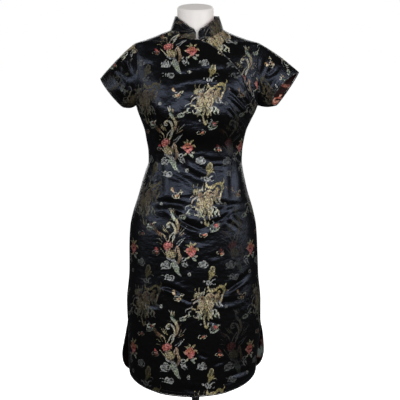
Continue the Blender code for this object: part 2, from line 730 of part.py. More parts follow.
def cut(obj, cutter, operation):
    modifier = obj.modifiers.new("placket", "BOOLEAN")
    modifier.operation = operation
    modifier.object = cutter
    modifier.solver = "EXACT"


def fronts():
    """The front, the flap that shows past its opening, and the piping on the opening's edge."""
    surface = panel_surface(FRONT_ACROSS, FRONT_ROWS, False)
    front = shell("front", *surface, False, "brocade")
    flap = bpy.data.objects.new("front_flap", front.data.copy())
    bpy.context.scene.collection.objects.link(flap)
    cut(front, placket_cutter("placket_cutter_front", -SEAM_GAP / 2), "DIFFERENCE")
    cut(flap, placket_cutter("placket_cutter_flap", SEAM_GAP / 2), "INTERSECT")
    hem_piping("hem_piping_front", surface)
    placket_piping()


def back():
    surface = panel_surface(BACK_ACROSS, BACK_ROWS, True)
    shell("back", *surface, False, "brocade")
    hem_piping("hem_piping_back", surface)


# ---------------------------------------------------------------- piping


def edge_piping(name, edge, normals, inside, closed):
    """Piping just off a wall's free edge. inside is a point of the wall near each edge point."""
    if closed:
        along = np.roll(edge, -1, axis=0) - np.roll(edge, 1, axis=0)
    else:
        along = np.gradient(edge, axis=0)
    away = unit(np.cross(normals, along))
    away *= np.sign(np.sum(away * (edge - inside), axis=-1, keepdims=True))
    tube(name, edge + away * (PIPING_GAP + PIPING_RADIUS), closed)


def tube(name, points, closed):
    """A many-sided cord along a line of points, its sides turned as little as the line allows."""
    if closed:
        along = unit(np.roll(points, -1, axis=0) - np.roll(points, 1, axis=0))
    else:
        along = unit(np.gradient(points, axis=0))
    mesh = bmesh.new()
    side = np.cross(along[0], PIPING_START_SIDE)
    rings = []
    for point, direction in zip(points, along):
        side = unit(side - direction * np.dot(side, direction))
        other = np.cross(direction, side)
        turns = [2 * math.pi * k / PIPING_SIDES for k in range(PIPING_SIDES)]
        spokes = [side * math.cos(turn) + other * math.sin(turn) for turn in turns]
        rings.append([mesh.verts.new(point + spoke * PIPING_RADIUS) for spoke in spokes])
    pairs = list(zip(rings, rings[1:]))
    if closed:
        reach = [(vert.co - rings[-1][0].co).length for vert in rings[0]]
        nearest = reach.index(min(reach))
        pairs.append((rings[-1], rings[0][nearest:] + rings[0][:nearest]))
    else:
        mesh.faces.new(rings[0])
        mesh.faces.new(rings[-1])
    for here, there in pairs:
        for k in range(PIPING_SIDES):
            n = (k + 1) % PIPING_SIDES
            mesh.faces.new((here[k], here[n], there[n], there[k]))
    finish_mesh(name, mesh, "piping")


def hem_piping(name, surface):
    """Down one slit's edge, round the hem and up the other slit's edge."""
    middle, normals, _ = surface
    last = middle.shape[1] - 1
    below = [r for r in range(len(middle)) if middle[r, 0, 2] < SLIT_TOP - SLIT_OPENING_LENGTH]
    high = below[-1]
    rows = [*range(high, 0, -1), *[0] * (last + 1), *range(1, high + 1)]
    columns = [*[0] * high, *range(last + 1), *[last] * high]
    inner_rows = [max(row, 2) for row in rows]
    inner_columns = np.clip(columns, 2, last - 2)
    edge_piping(
        name, middle[rows, columns], normals[rows, columns],
        middle[inner_rows, inner_columns], False,
    )


def placket_piping():
    """Piping on the front's outer face, along the opening from the collar to the armhole."""
    line = placket_line()
    x, z = line[:, 0], line[:, 1]
    share = (x - section("shift", z)) / section("half_width", z)
    angle = np.arcsin(np.clip(signed_power(share, SECTION_POWER / 2), -1, 1))
    clear = (z < PLACKET_PIPING_TOP) & (angle < armhole_angle(z) - PLACKET_PIPING_END)
    out = folded_normal(angle, z) * (WALL / 2 + PIPING_GAP + PIPING_RADIUS)
    tube("placket_piping", (folded_point(angle, z) + out)[clear], False)


# ---------------------------------------------------------------- dress form and stand


def form_torso():
    """A smooth closed torso inside the dress, with blunt arm stumps and a sloping neck."""
    turns = np.arange(FORM_AROUND) * 2 * math.pi / FORM_AROUND
    rings = []
    levels = np.linspace(FORM_BOTTOM + FORM_BOTTOM_ROUND, FORM_TOP_OF_SHOULDERS, FORM_LEVELS)
    for z in levels:
        ring = smooth_point(turns, z) - normal_from(smooth_point, turns, z) * FORM_CLEARANCE
        x = ring[:, 0]
        over = np.clip(np.abs(x) - (FORM_ARM_LIMIT - FORM_ARM_SOFTNESS), 0, None)
        squeezed = FORM_ARM_SOFTNESS * np.tanh(over / FORM_ARM_SOFTNESS)
        ring[:, 0] = np.where(over > 0, np.sign(x) * (np.abs(x) - over + squeezed), x)
        rings.append(ring)
    lowest = rings[0]
    middle = lowest.mean(axis=0)
    for turn in EDGE_TURNS[1:]:
        inset = FORM_BOTTOM_ROUND * (1 - math.cos(math.radians(turn)))
        ring = lowest + unit(middle - lowest) * inset
        ring[:, 2] = lowest[:, 2] - FORM_BOTTOM_ROUND * math.sin(math.radians(turn))
        rings.insert(0, ring)
    rings = [clear_of_neck(ring) for ring in rings]
    for z in (NECK_FORM_BASE_Z, NECK_FORM_STRAIGHT_Z):
        rings.append(neck_ring(turns, NECK_FORM_RADIUS, z, 0.0))
    for turn in EDGE_TURNS:
        radius = NECK_FORM_RADIUS - NECK_FORM_RIM * (1 - math.cos(math.radians(turn)))
        z = NECK_FORM_TOP_Z - NECK_FORM_RIM * (1 - math.sin(math.radians(turn)))
        rings.append(neck_ring(turns, radius, z, NECK_FORM_TOP_SLOPE))
    mesh = bmesh.new()
    loops = [[mesh.verts.new(point) for point in ring] for ring in rings]
    for low, high in zip(loops, loops[1:]):
        for k in range(FORM_AROUND):
            n = (k + 1) % FORM_AROUND
            mesh.faces.new((low[k], low[n], high[n], high[k]))
    mesh.faces.new(loops[0])
    mesh.faces.new(loops[-1])
    return finish_mesh("form_torso", mesh, "form")


def clear_of_neck(ring):
    """The ring with any point that lies inside the neck's cylinder moved out to it."""
    centre = np.array([NECK_FORM_X, NECK_FORM_Y])
    spokes = ring[:, :2] - centre
    reach = np.linalg.norm(spokes, axis=1, keepdims=True)
    wide = np.maximum(reach, NECK_FORM_RADIUS + NECK_FORM_FOOT)
    return np.column_stack([centre + spokes / reach * wide, ring[:, 2]])


def neck_ring(turns, radius, z, slope):
    x = NECK_FORM_X + radius * np.sin(turns)
    y = NECK_FORM_Y - radius * np.cos(turns)
    return np.stack([x, y, z + slope * (y - NECK_FORM_Y)], axis=-1)


def turned(name, profile, foot):
    """A solid turned about the pole's axis, its profile standing on this level."""
    mesh = bmesh.new()
    rings = []
    radii = column(PROFILE_COLUMNS, profile, "radius")
    levels = foot + column(PROFILE_COLUMNS, profile, "z")
    turns = [2 * math.pi * k / ROUND_STEPS for k in range(ROUND_STEPS)]
    for radius, z in zip(radii, levels):
        spokes = turns if radius else [0]
        points = [(STAND_X + radius * math.cos(t), radius * math.sin(t), z) for t in spokes]
        rings.append([mesh.verts.new(point) for point in points])
    for here, there in zip(rings, rings[1:] + rings[:1]):
        if len(here) == len(there) == 1:
            continue
        for k in range(ROUND_STEPS):
            n = (k + 1) % ROUND_STEPS
            near = (here[k % len(here)], here[n % len(here)])
            far = (there[n % len(there)], there[k % len(there)])
            mesh.faces.new(list(dict.fromkeys(near + far)))
    return finish_mesh(name, mesh, "stand")


def rod(radius, height):
    return ((0.0, 0.0), (radius, 0.0), (radius, height), (0.0, height))


def stand():
    """A domed round base, a hub on it, the pole in the hub and a flange under the torso."""
    turned("base", BASE_PROFILE, 0.0)
    hub_foot = BASE_PROFILE[-1][1] + STAND_GAP
    turned("hub", HUB_PROFILE, hub_foot)
    flange_foot = FORM_BOTTOM - STAND_GAP - FLANGE_THICKNESS
    turned("flange", rod(FLANGE_RADIUS, FLANGE_THICKNESS), flange_foot)
    turned("pole", rod(POLE_RADIUS, flange_foot - STAND_GAP - hub_foot), hub_foot)


def main():
    clear_scene()
    fronts()
    back()
    for name, shape in SLEEVES.items():
        sleeve(name, shape)
    collar()
    form_torso()
    stand()


main()
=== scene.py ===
"""A short-sleeved brocade cheongsam on a limbless dress form.

Metres, +Z up. The dress faces -Y, and +X is the wearer's left. Each piece of cloth is a thin wall
on the dress's one surface, in the place of the solid that it replaces. The brocade is computed at
each point of the cloth, in millimetres of the flat fabric, from tables of strokes.
"""

import math
from functools import partialmethod

import bpy
import numpy as np
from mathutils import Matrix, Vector


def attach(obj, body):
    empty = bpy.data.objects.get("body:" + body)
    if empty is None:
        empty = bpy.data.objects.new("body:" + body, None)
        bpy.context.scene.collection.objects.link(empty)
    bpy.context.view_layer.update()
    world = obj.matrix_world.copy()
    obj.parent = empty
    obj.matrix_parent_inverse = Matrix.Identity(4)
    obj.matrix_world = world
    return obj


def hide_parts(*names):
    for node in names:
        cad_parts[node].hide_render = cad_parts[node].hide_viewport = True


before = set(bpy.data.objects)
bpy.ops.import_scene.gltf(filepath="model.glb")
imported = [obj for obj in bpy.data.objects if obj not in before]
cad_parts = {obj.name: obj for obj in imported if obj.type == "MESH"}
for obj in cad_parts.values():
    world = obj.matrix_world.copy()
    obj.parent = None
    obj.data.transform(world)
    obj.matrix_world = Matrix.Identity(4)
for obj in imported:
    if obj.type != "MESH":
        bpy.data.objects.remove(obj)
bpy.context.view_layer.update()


# -------- how tables are read


def table(text):
    """A table's columns by name, from a line of names and then a line for each row."""
    names, *rows = [line.split() for line in text.strip().splitlines()]
    return {name: np.array(cells, float) for name, cells in zip(names, zip(*rows))}


STROKE_COLUMNS = ("start", "end", "strands", "slant", "widths", "points")


def strokes(text):
    """A motif's strokes, one to a line: the colours at its start and end, how open its strands
    are, their slant, its half-width at the start, middle and end, and then its points as x,y."""
    rows = []
    for line in text.strip().splitlines():
        if not line.startswith("#"):
            start, end, *numbers = line.split()
            strands, slant, *widths = map(float, numbers[:5])
            points = np.array([point.split(",") for point in numbers[5:]], float)
            rows.append(dict(zip(STROKE_COLUMNS, (start, end, strands, slant, widths, points))))
    return rows


# -------- cloth and the dress's surface

WALL = 0.0016
EDGE_CLEARANCE = 0.0003
PIPING_RADIUS = 0.0014
PIPING_GAP = 0.0004
PIPING_START_SIDE = (0.31, -0.52, 0.80)
SMOOTH_ANGLE = math.radians(50)
NOISE_CELLS = 64

# Level sections, each a superellipse, wider or deeper as the cut is.
SECTION_POWER = 2.2
ANGLE_STEP, Z_STEP = 0.012, 0.002
SECTIONS = table("""
     z half_width front_depth back_depth   shift
0.4300     0.1783      0.1300     0.1320 -0.0100
0.5200     0.1818      0.1280     0.1300 -0.0080
0.6000     0.1878      0.1260     0.1280 -0.0038
0.6880     0.1893      0.1240     0.1260 -0.0052
0.7750     0.1817      0.1220     0.1260 -0.0052
0.8610     0.1796      0.1190     0.1260 -0.0064
0.9040     0.1766      0.1160     0.1220 -0.0065
0.9470     0.1677      0.1130     0.1150 -0.0062
0.9750     0.1590      0.1100     0.1080 -0.0055
1.0030     0.1505      0.1070     0.0990 -0.0055
1.0320     0.1432      0.1030     0.0900 -0.0048
1.0600     0.1360      0.0990     0.0820 -0.0032
1.0880     0.1300      0.0970     0.0770 -0.0008
1.1160     0.1310      0.0985     0.0760 -0.0006
1.1440     0.1354      0.1025     0.0790 -0.0008
1.1720     0.1412      0.1110     0.0850  0.0000
1.2000     0.1524      0.1185     0.0920  0.0015
1.2280     0.1645      0.1215     0.0990  0.0032
1.2620     0.1750      0.1205     0.1040  0.0044
1.3000     0.1840      0.1155     0.1060  0.0050
1.3400     0.1880      0.1000     0.1040  0.0050
1.3750     0.1870      0.0860     0.0980  0.0050
1.4000     0.1800      0.0735     0.0900  0.0050
1.4110     0.1745      0.0685     0.0850  0.0050
1.4220     0.1412      0.0645     0.0790  0.0036
1.4355     0.1050      0.0600     0.0690  0.0030
1.4500     0.0735      0.0550     0.0600  0.0045
1.4660     0.0600      0.0500     0.0550  0.0045
""")
BUST_X, BUST_Z = 0.085, 1.212
BUST_SPREAD_X, BUST_SPREAD_Z, BUST_RISE = 0.042, 0.046, 0.010

# Below the slits the back panel stands wider than the front one.
SLIT_TOP = 0.640
SLIT_OPENING = 0.0260
SLIT_OPENING_LENGTH = 0.026
BACK_FLARE = table("""
    z extra_half_width
0.430           0.0210
0.490           0.0205
0.530           0.0195
0.572           0.0120
0.600           0.0060
0.640           0.0000
0.700           0.0000
""")

# The hem's level at shares of the way from the middle of a panel to its slit.
HEMS = table("""
share front_z back_z
 0.00  0.4442 0.4450
 0.27  0.4500 0.4490
 0.39  0.4562 0.4550
 0.54  0.4642 0.4630
 0.66  0.4718 0.4730
 0.78  0.4802 0.4860
 0.90  0.4900 0.5080
 0.96  0.5030 0.5250
 1.00  0.5190 0.5450
""")
FRONT_HEM_TILT, BACK_HEM_TILT = 0.0015, 0.0050

# Neckline, seen from above, and the stand-up collar on it.
NECK_X = 0.0045
NECK_HALF, NECK_FRONT, NECK_BACK = 0.0728, 0.0645, 0.0580
NECK_POWER_FRONT, NECK_POWER_BACK = 2.7, 2.3
NECKLINE_HALVINGS = 40
COLLAR_TOP_HALF, COLLAR_TOP_FRONT, COLLAR_TOP_BACK = 0.0612, 0.0590, 0.0540
COLLAR_FRONT_Z, COLLAR_SIDE_Z, COLLAR_BACK_Z = 1.4492, 1.4845, 1.4910
COLLAR_RISE_POWER = 1.3
COLLAR_GAP, COLLAR_CORNER, COLLAR_UPRIGHT_REACH = 0.0052, 0.008, 0.5
COLLAR_CROWDING = 0.35

# Armholes: half the distance between the armhole seams at each level, about the body's middle.
UNDERARM_Z, TIP_Z = 1.2425, 1.411
ARMHOLES = table("""
     z half_width
1.2425     0.1695
1.2620     0.1655
1.3040     0.1645
1.3400     0.1630
1.3700     0.1640
1.3950     0.1695
1.4110     0.1745
""")

# Sleeves: the cuff's top and bottom corners, how far its front and back edges stand off them, and
# where in the flat brocade the sleeve's seam lies.
SLEEVES = {
    "sleeve_right": {
        "side": -1,
        "pattern": (0.040, 0.142),
        "top": (-0.2628, 0.0, 1.3175),
        "bottom": (-0.1972, 0.0, 1.2355),
        "front": (-0.0015, -0.0420, -0.0035),
        "back": (0.0100, 0.0400, 0.0060),
    },
    "sleeve_left": {
        "side": 1,
        "pattern": (0.020, 0.194),
        "top": (0.2855, 0.0, 1.3345),
        "bottom": (0.2235, 0.0, 1.2405),
        "front": (-0.0330, -0.0420, -0.0050),
        "back": (0.0080, 0.0400, 0.0010),
    },
}
CUFF_POINTEDNESS = 1.2
SLEEVE_FULLNESS = 0.004
SLEEVE_FOLD_END, SLEEVE_FOLD_FADE = 0.94, 0.5

# The front's overlap opens along this line, from the collar's notch to the wearer's left underarm.
PLACKET = table("""
     x      z
0.0044 1.4560
0.0048 1.4240
0.0150 1.4185
0.0300 1.4130
0.0479 1.4029
0.0784 1.3781
0.1019 1.3544
0.1229 1.3280
0.1367 1.3010
0.1524 1.2720
0.1640 1.2530
0.1740 1.2400
0.1900 1.2200
""")
PLACKET_POINTS = 48
PLACKET_PIPING_TOP, PLACKET_PIPING_END = 1.4175, 0.05
PLACKET_BELOW_UNDERARM = 0.004
# a grid point is moved onto the opening when it lies within this share of a step of the grid
PLACKET_SNAP = 0.56

# Folds and creases on the front, the back and each sleeve, in millimetres: each a soft trough
# along a line through three points. One with a negative depth is a low swelling.
FOLDS = {
    "front": table("""
  x0   z0   x1   z1   x2   z2 width depth
 -70 1306   13 1332   95 1324 12  2.8
 -60 1283    0 1302   60 1300 12  1.8
  86 1290  114 1264  150 1226  7  3.6
  84 1268  110 1240  146 1196  7    3
-119 1262 -120 1204 -112 1136  8  4.2
  88 1162  112 1118  130 1074  9    3
 -45 1078    0 1050   44 1030 12  2.6
 -94 1110  -96 1040  -94  970 10  3.6
  99 1092  101 1028   99  966 10  3.6
-125  973  -75  978  -20  974 10  3.6
  30  974   90  970  160  968 10  3.4
 -69  966  -32  930   18  912  8    3
  18  912   64  930  104  962  8  2.8
 -90  756  -50  738  -12  712  7  2.2
 156  784  114  758   74  728  7  2.4
 -47 1294    2 1306   52 1300  6  0.8
-100 1322  -58 1330  -10 1318  6    1
  20 1345   60 1342   96 1334  6    1
 102 1330  126 1304  148 1268  5    2
 122 1322  142 1286  153 1240  4  1.8
 134 1330  150 1294  160 1254  4  1.6
 114 1282  132 1262  151 1236  4  1.8
  96 1262  122 1232  150 1206  4  2.2
  94 1248  118 1216  144 1176  4  3.2
  92 1230  112 1202  138 1158  4    3
  98 1206  112 1184  132 1146  4  2.4
 124 1220  138 1202  152 1176  4  2.8
 104 1196  126 1168  148 1134 22   -6
 -60 1184   10 1168   84 1170 19 -5.2
-124 1222 -108 1205  -92 1180 24  5.2
-131 1160 -118 1085 -130 1005  7  1.8
-146 1262 -138 1222 -128 1180  6  1.8
-103 1236 -101 1190  -94 1132  5  1.6
 -20 1098   15 1074   48 1062  6  1.2
 -78 1050  -45 1042  -18 1024  6  1.2
  16 1104   50 1092   84 1098  6  1.2
  40 1072   62 1078   90 1070  5  1.2
 -60 1004  -30  992    4  998  6  1.2
 -90 1128  -60 1116  -30 1120  7    1
 -66  955  -30  924   26  902  5  1.8
 -80  964  -56  950  -26  940  5  1.6
  30  946   66  950  100  972  5  1.6
  74  942  104  954  140  960  5  1.4
  82  926  100  918  124  898  5  1.4
  98  948  112  930  136  912  5  1.6
 -20  882   14  872   44  882  8    1
  30  838   50  832   66  840  6    1
 -98  748  -68  744  -40  728  5  2.2
 -60  726  -36  716   -4  704  5  1.8
 146  772  116  752   86  736  5  2.2
  22  716   72  707  128  713  6  2.2
  44  700   82  698  122  704  5  1.4
-150  706 -120  692  -92  700  6  1.6
  28  658   48  650   68  644  5  1.6
   4  566   20  558   36  552  5  1.6
  44  531   62  535   80  543  5  1.6
  86  490  120  500  158  504  7  3.4
  70  474   96  480  124  486  6  1.6
 -40  468  -10  462   20  464  7  1.4
 -60 1384  -64 1350  -80 1320 10    1
-138 1384 -120 1392  -98 1396  6  1.2
-142 1352 -128 1356 -112 1350  6  1.4
"""),
    "back": table("""
  x0   z0   x1   z1   x2   z2 width depth
-110 1330    0 1346  112 1328 14  3.4
-130 1200  -85 1150  -50 1105 13  3.4
 134 1196   92 1152   44 1098 13  3.2
-110 1060    0 1020  108 1064 14  4.2
 -80 1012    5  978   92 1008 14  3.6
-130  720  -60  700  -20  660 15  3.2
 134  736   80  706   36  680 15    3
 -90 1290    0 1304   94 1292  8  1.4
 -60 1382    4 1376   66 1384  8  1.2
 120 1160   90 1132   60 1110  7  1.4
-124 1172  -96 1136  -64 1116  7  1.4
 -90 1042    2 1004   88 1046  7  1.6
 -60  990    8  956   78  984  7  1.4
-120  930  -70  916  -20  922  8  1.4
 124  936   80  912   30  916  8  1.4
 -96  700  -60  680  -26  646  7  1.4
 110  708   74  690   40  656  7  1.4
  90  524   50  516   10  520  8  1.4
"""),
    "sleeve_right": table("""
  x0   z0   x1   z1   x2   z2 width depth
-168 1395 -186 1362 -180 1330  7    3
-206 1368 -188 1352 -172 1318  6  2.6
-226 1334 -204 1312 -182 1276  6  2.6
-212 1300 -196 1284 -180 1256  5    2
-180 1300 -170 1284 -166 1262  5  1.6
"""),
    "sleeve_left": table("""
  x0   z0   x1   z1   x2   z2 width depth
 184 1398  182 1368  178 1330  7  2.6
 206 1366  196 1338  184 1314  6  2.4
 226 1344  212 1330  190 1322  6  2.6
 222 1318  208 1300  200 1276  5  2.2
 182 1306  184 1282  192 1258  6  1.8
"""),
}
FOLD_STEPS, FOLD_REACH = 8, 4.6
FOLD_END, FOLD_FADE, SEAM_FADE = 0.04, 0.7, 10
RIDGE_SHARE, RIDGE_AT = 0.42, 1.9
# small lumps all over, and the share of their height at each level
RIPPLES = table("""
across    up  height seed
 0.034 0.026  0.0008    5
 0.014  0.01 0.00022   11
""")
RIPPLE_TOP, RIPPLE_FADE = 1.40, 0.03
RIPPLE_SHARES = table("""
   z share
0.40  0.35
0.80  0.45
0.92  1.00
1.32  0.90
1.42  0.30
""")

# Fine grids: intervals across and down.
PANEL_COLUMNS = 200
HEM_ROWS, BODY_ROWS, ARM_ROWS, NECK_ROWS = 76, 214, 64, 16
HEM_ZONE_TOP = 0.660
SLEEVE_ROWS = 44
COLLAR_COLUMNS, COLLAR_ROWS = 168, 14
# how many grid steps in from an edge the cloth's own side is looked up, to lay piping outside it
HEM_INSET, COLLAR_INSET, CUFF_INSET = 4, 6, 2
TUBE_SIDES = 8
TORSO_AROUND, TORSO_LEVELS = 144, 90
TURNED_STEPS, TURNED_CENTRE = 96, 0.0004
EDGE_ROUND, MOST_ROUNDED = 0.0006, 0.4
QUARTER_TURN = np.radians(np.arange(0, 91, 9))

# The weave's grain: which repeat of the pattern each level shows, and how far it leans across.
REPEAT_WIDTH, REPEAT = 0.180, 0.280
GRAIN = table("""
     z front_repeats front_lean back_repeats
0.4000         -0.56     -0.015        -0.57
0.5680          0.00     -0.015         0.03
0.8500          1.00     -0.012         1.03
1.1315          2.00     -0.020         2.03
1.3925          3.00     -0.010         2.99
1.5000          3.48     -0.010         3.44
""")
BACK_SHIFT = 0.078
# where the flap's cloth lies in the pattern, and the least brightness of its columns that are
# painted darker as painted shade
FLAP_SHIFT, FLAP_PAINTED_SHADE_FLOOR = (0.338, -0.181), 0.6
COLLAR_PATTERN = (0.166, -0.165)

# Darts: the cloth that each takes in at a level, and the levels between which its seam shows.
DART_X, DART_SHIFT = 0.0965, 0.002
DARTS = table("""
    z intake
0.400  0.000
0.955  0.000
1.090  0.022
1.220  0.000
1.500  0.000
""")
DART_LOWEST, DART_HIGHEST = 0.967, 1.170

# -------- the form, the stand, the room

FORM_CLEARANCE = 0.0085
FORM_BOTTOM, FORM_BOTTOM_ROUND = 0.775, 0.028
FORM_ARM_LIMIT, FORM_ARM_SOFTNESS = 0.160, 0.014
FORM_TOP_OF_SHOULDERS = 1.4485
NECK_FORM_X, NECK_FORM_Y, NECK_FORM_RADIUS = 0.0, -0.002, 0.051
NECK_FORM_BASE_Z, NECK_FORM_STRAIGHT_Z = 1.460, 1.478
NECK_FORM_TOP_Z, NECK_FORM_TOP_SLOPE = 1.5132, 0.239
NECK_FORM_RIM, NECK_FORM_FOOT, NECK_FORM_RINGS = 0.007, 0.0006, 4

# Stand: each turned piece's profile, as (radius, z) from its own foot up.
STAND_X = 0.0
STAND_GAP = 0.0003
BASE_PROFILE = (
    (0.0, 0.0), (0.188, 0.0), (0.19, 0.002), (0.19, 0.006),
    (0.187, 0.008), (0.1, 0.012), (0.05, 0.016), (0.0, 0.016),
)
HUB_PROFILE = (
    (0.0114, 0.0), (0.026, 0.0), (0.026, 0.033), (0.018, 0.045), (0.0114, 0.045),
)
POLE_RADIUS = 0.011
FLANGE_RADIUS, FLANGE_THICKNESS = 0.045, 0.005

CAMERA_PLACE, CAMERA_AIM_Z, CAMERA_LENS = (0.0126, -3.30, 1.35), 0.975, 106.02
CAMERA_SENSOR = 36.0
SURROUND_LIGHT, SURROUND_SEEN = ((0.92, 0.95, 1.0, 1), 0.012), ((1, 1, 1, 1), 1.0)
FLOOR_GLOW, FLOOR_GLOW_FROM, FLOOR_DROP, FLOOR_HALF = 0.62, (0.5, 1.3), 0.0005, 300.0
LIGHTS = (
    # name, place, aim, (width, height), watts
    ("front", (0.0, -3.8, 1.90), (0.0, 0.0, 1.15), (2.8, 0.8), 62.0),
    ("front_left", (-2.9, -2.5, 1.75), (0.0, 0.0, 1.10), (1.6, 1.0), 36.0),
    ("front_right", (2.9, -2.5, 1.75), (0.0, 0.0, 1.10), (1.6, 1.0), 34.0),
    ("side_left", (-2.9, -0.6, 2.2), (-0.2, 0.0, 1.20), (1.0, 1.0), 12.0),
    ("side_right", (2.7, -1.5, 2.4), (0.1, 0.0, 1.40), (1.2, 1.2), 23.0),
    ("low_left", (-3.0, -0.9, 1.25), (-0.2, 0.0, 0.90), (0.8, 1.4), 4.0),
    ("low_right", (3.0, -0.9, 1.25), (0.2, 0.0, 0.90), (0.8, 1.4), 15.0),
    ("top", (0.0, 0.5, 3.3), (0.0, 0.0, 1.5), (1.0, 0.8), 11.0),
    ("back_left", (-1.3, 3.5, 2.0), (0.0, 0.0, 1.1), (1.8, 2.2), 30.0),
    ("back_right", (1.3, 3.5, 2.0), (0.0, 0.0, 1.1), (1.8, 2.2), 30.0),
)
PLAIN_LOOKS = {
    "form": {
        "tones": (9.0, 3.0, (0.87, 0.83, 0.80, 1), (0.90, 0.86, 0.83, 1)),
        "roughness": (0.40, 0.10),
        "grain": (700.0, 0.06, 0.0005),
        "Specular_IOR_Level": 0.45,
    },
    "stand": {
        "tones": (30.0, 4.0, (0.010, 0.010, 0.011, 1), (0.022, 0.022, 0.024, 1)),
        "roughness": (0.30, 0.18),
        "grain": (1800.0, 0.12, 0.0003),
        "Metallic": 0.0,
        "Coat_Weight": 0.2,
    },
}

# -------- the brocade's drawing

# One repeat of the woven pattern, in millimetres. Each motif's strokes are drawn from a point of
# their own: x runs to the viewer's right and y up. A stroke tapers between its three half-widths.
# Its strands are the floats' rows: along it, or slanted to its spine as in a feather.
PALETTE = {
    "gold": (0.38, 0.31, 0.13),
    "olive": (0.20, 0.185, 0.09),
    "cream": (0.56, 0.50, 0.32),
    "beige": (0.38, 0.285, 0.18),
    "brown": (0.15, 0.095, 0.055),
    "umber": (0.040, 0.030, 0.018),
    "white": (0.40, 0.41, 0.39),
    "grey": (0.26, 0.27, 0.27),
    "mint": (0.38, 0.44, 0.31),
    "coral": (0.50, 0.15, 0.12),
    "rose": (0.72, 0.28, 0.26),
    "red": (0.36, 0.05, 0.05),
    "orange": (0.46, 0.19, 0.09),
    "peach": (0.50, 0.33, 0.23),
    "green": (0.03, 0.10, 0.05),
}
PEONY = strokes("""
cream olive 0.8 0.8  1.4 3 0.8  -3,8 -9,13 -16,15
olive cream 0.8 0.8  1.6 3.4 0.8  -1,9 -1,17 -4,24
cream gold 0.8 0.8  1.6 3.2 1  5,8 9,16 15,20
gold cream 0.6 0.8  1.4 2.8 0.8  10,5 17,4 22,-4
cream cream 0.4 0.8  1.4 2.6 0.8  -10,-1 -15,-2 -20,1
coral rose 0.3 0  3.4 4.6 3.4  -9,3 -10,-5
coral red 0.3 0  3.4 4.4 3.2  9,3 10,-5
orange coral 0.3 0  3.2 4.4 3.2  -3,8 4,8
coral rose 0.3 0  3.6 5 3.6  -6,-8 0,-10 7,-8
orange coral 0.3 0  2.6 3.6 2.6  -4,0 0,2 5,0
rose coral 0.3 0  1.6 3.2 1.6  -4,-13 1,-16 5,-13
red red 0 0  0.5 0.8 0.5  -4,-3 0,-5 5,-3
cream mint 0.3 0.6  1.6 3 1.2  -5,-18 -9,-22 -13,-22
white mint 0.3 0.6  2 4 2.6  3,-20 9,-24 13,-28
white cream 0.3 0.6  1.6 3 1.2  10,-15 15,-17 19,-15
""")
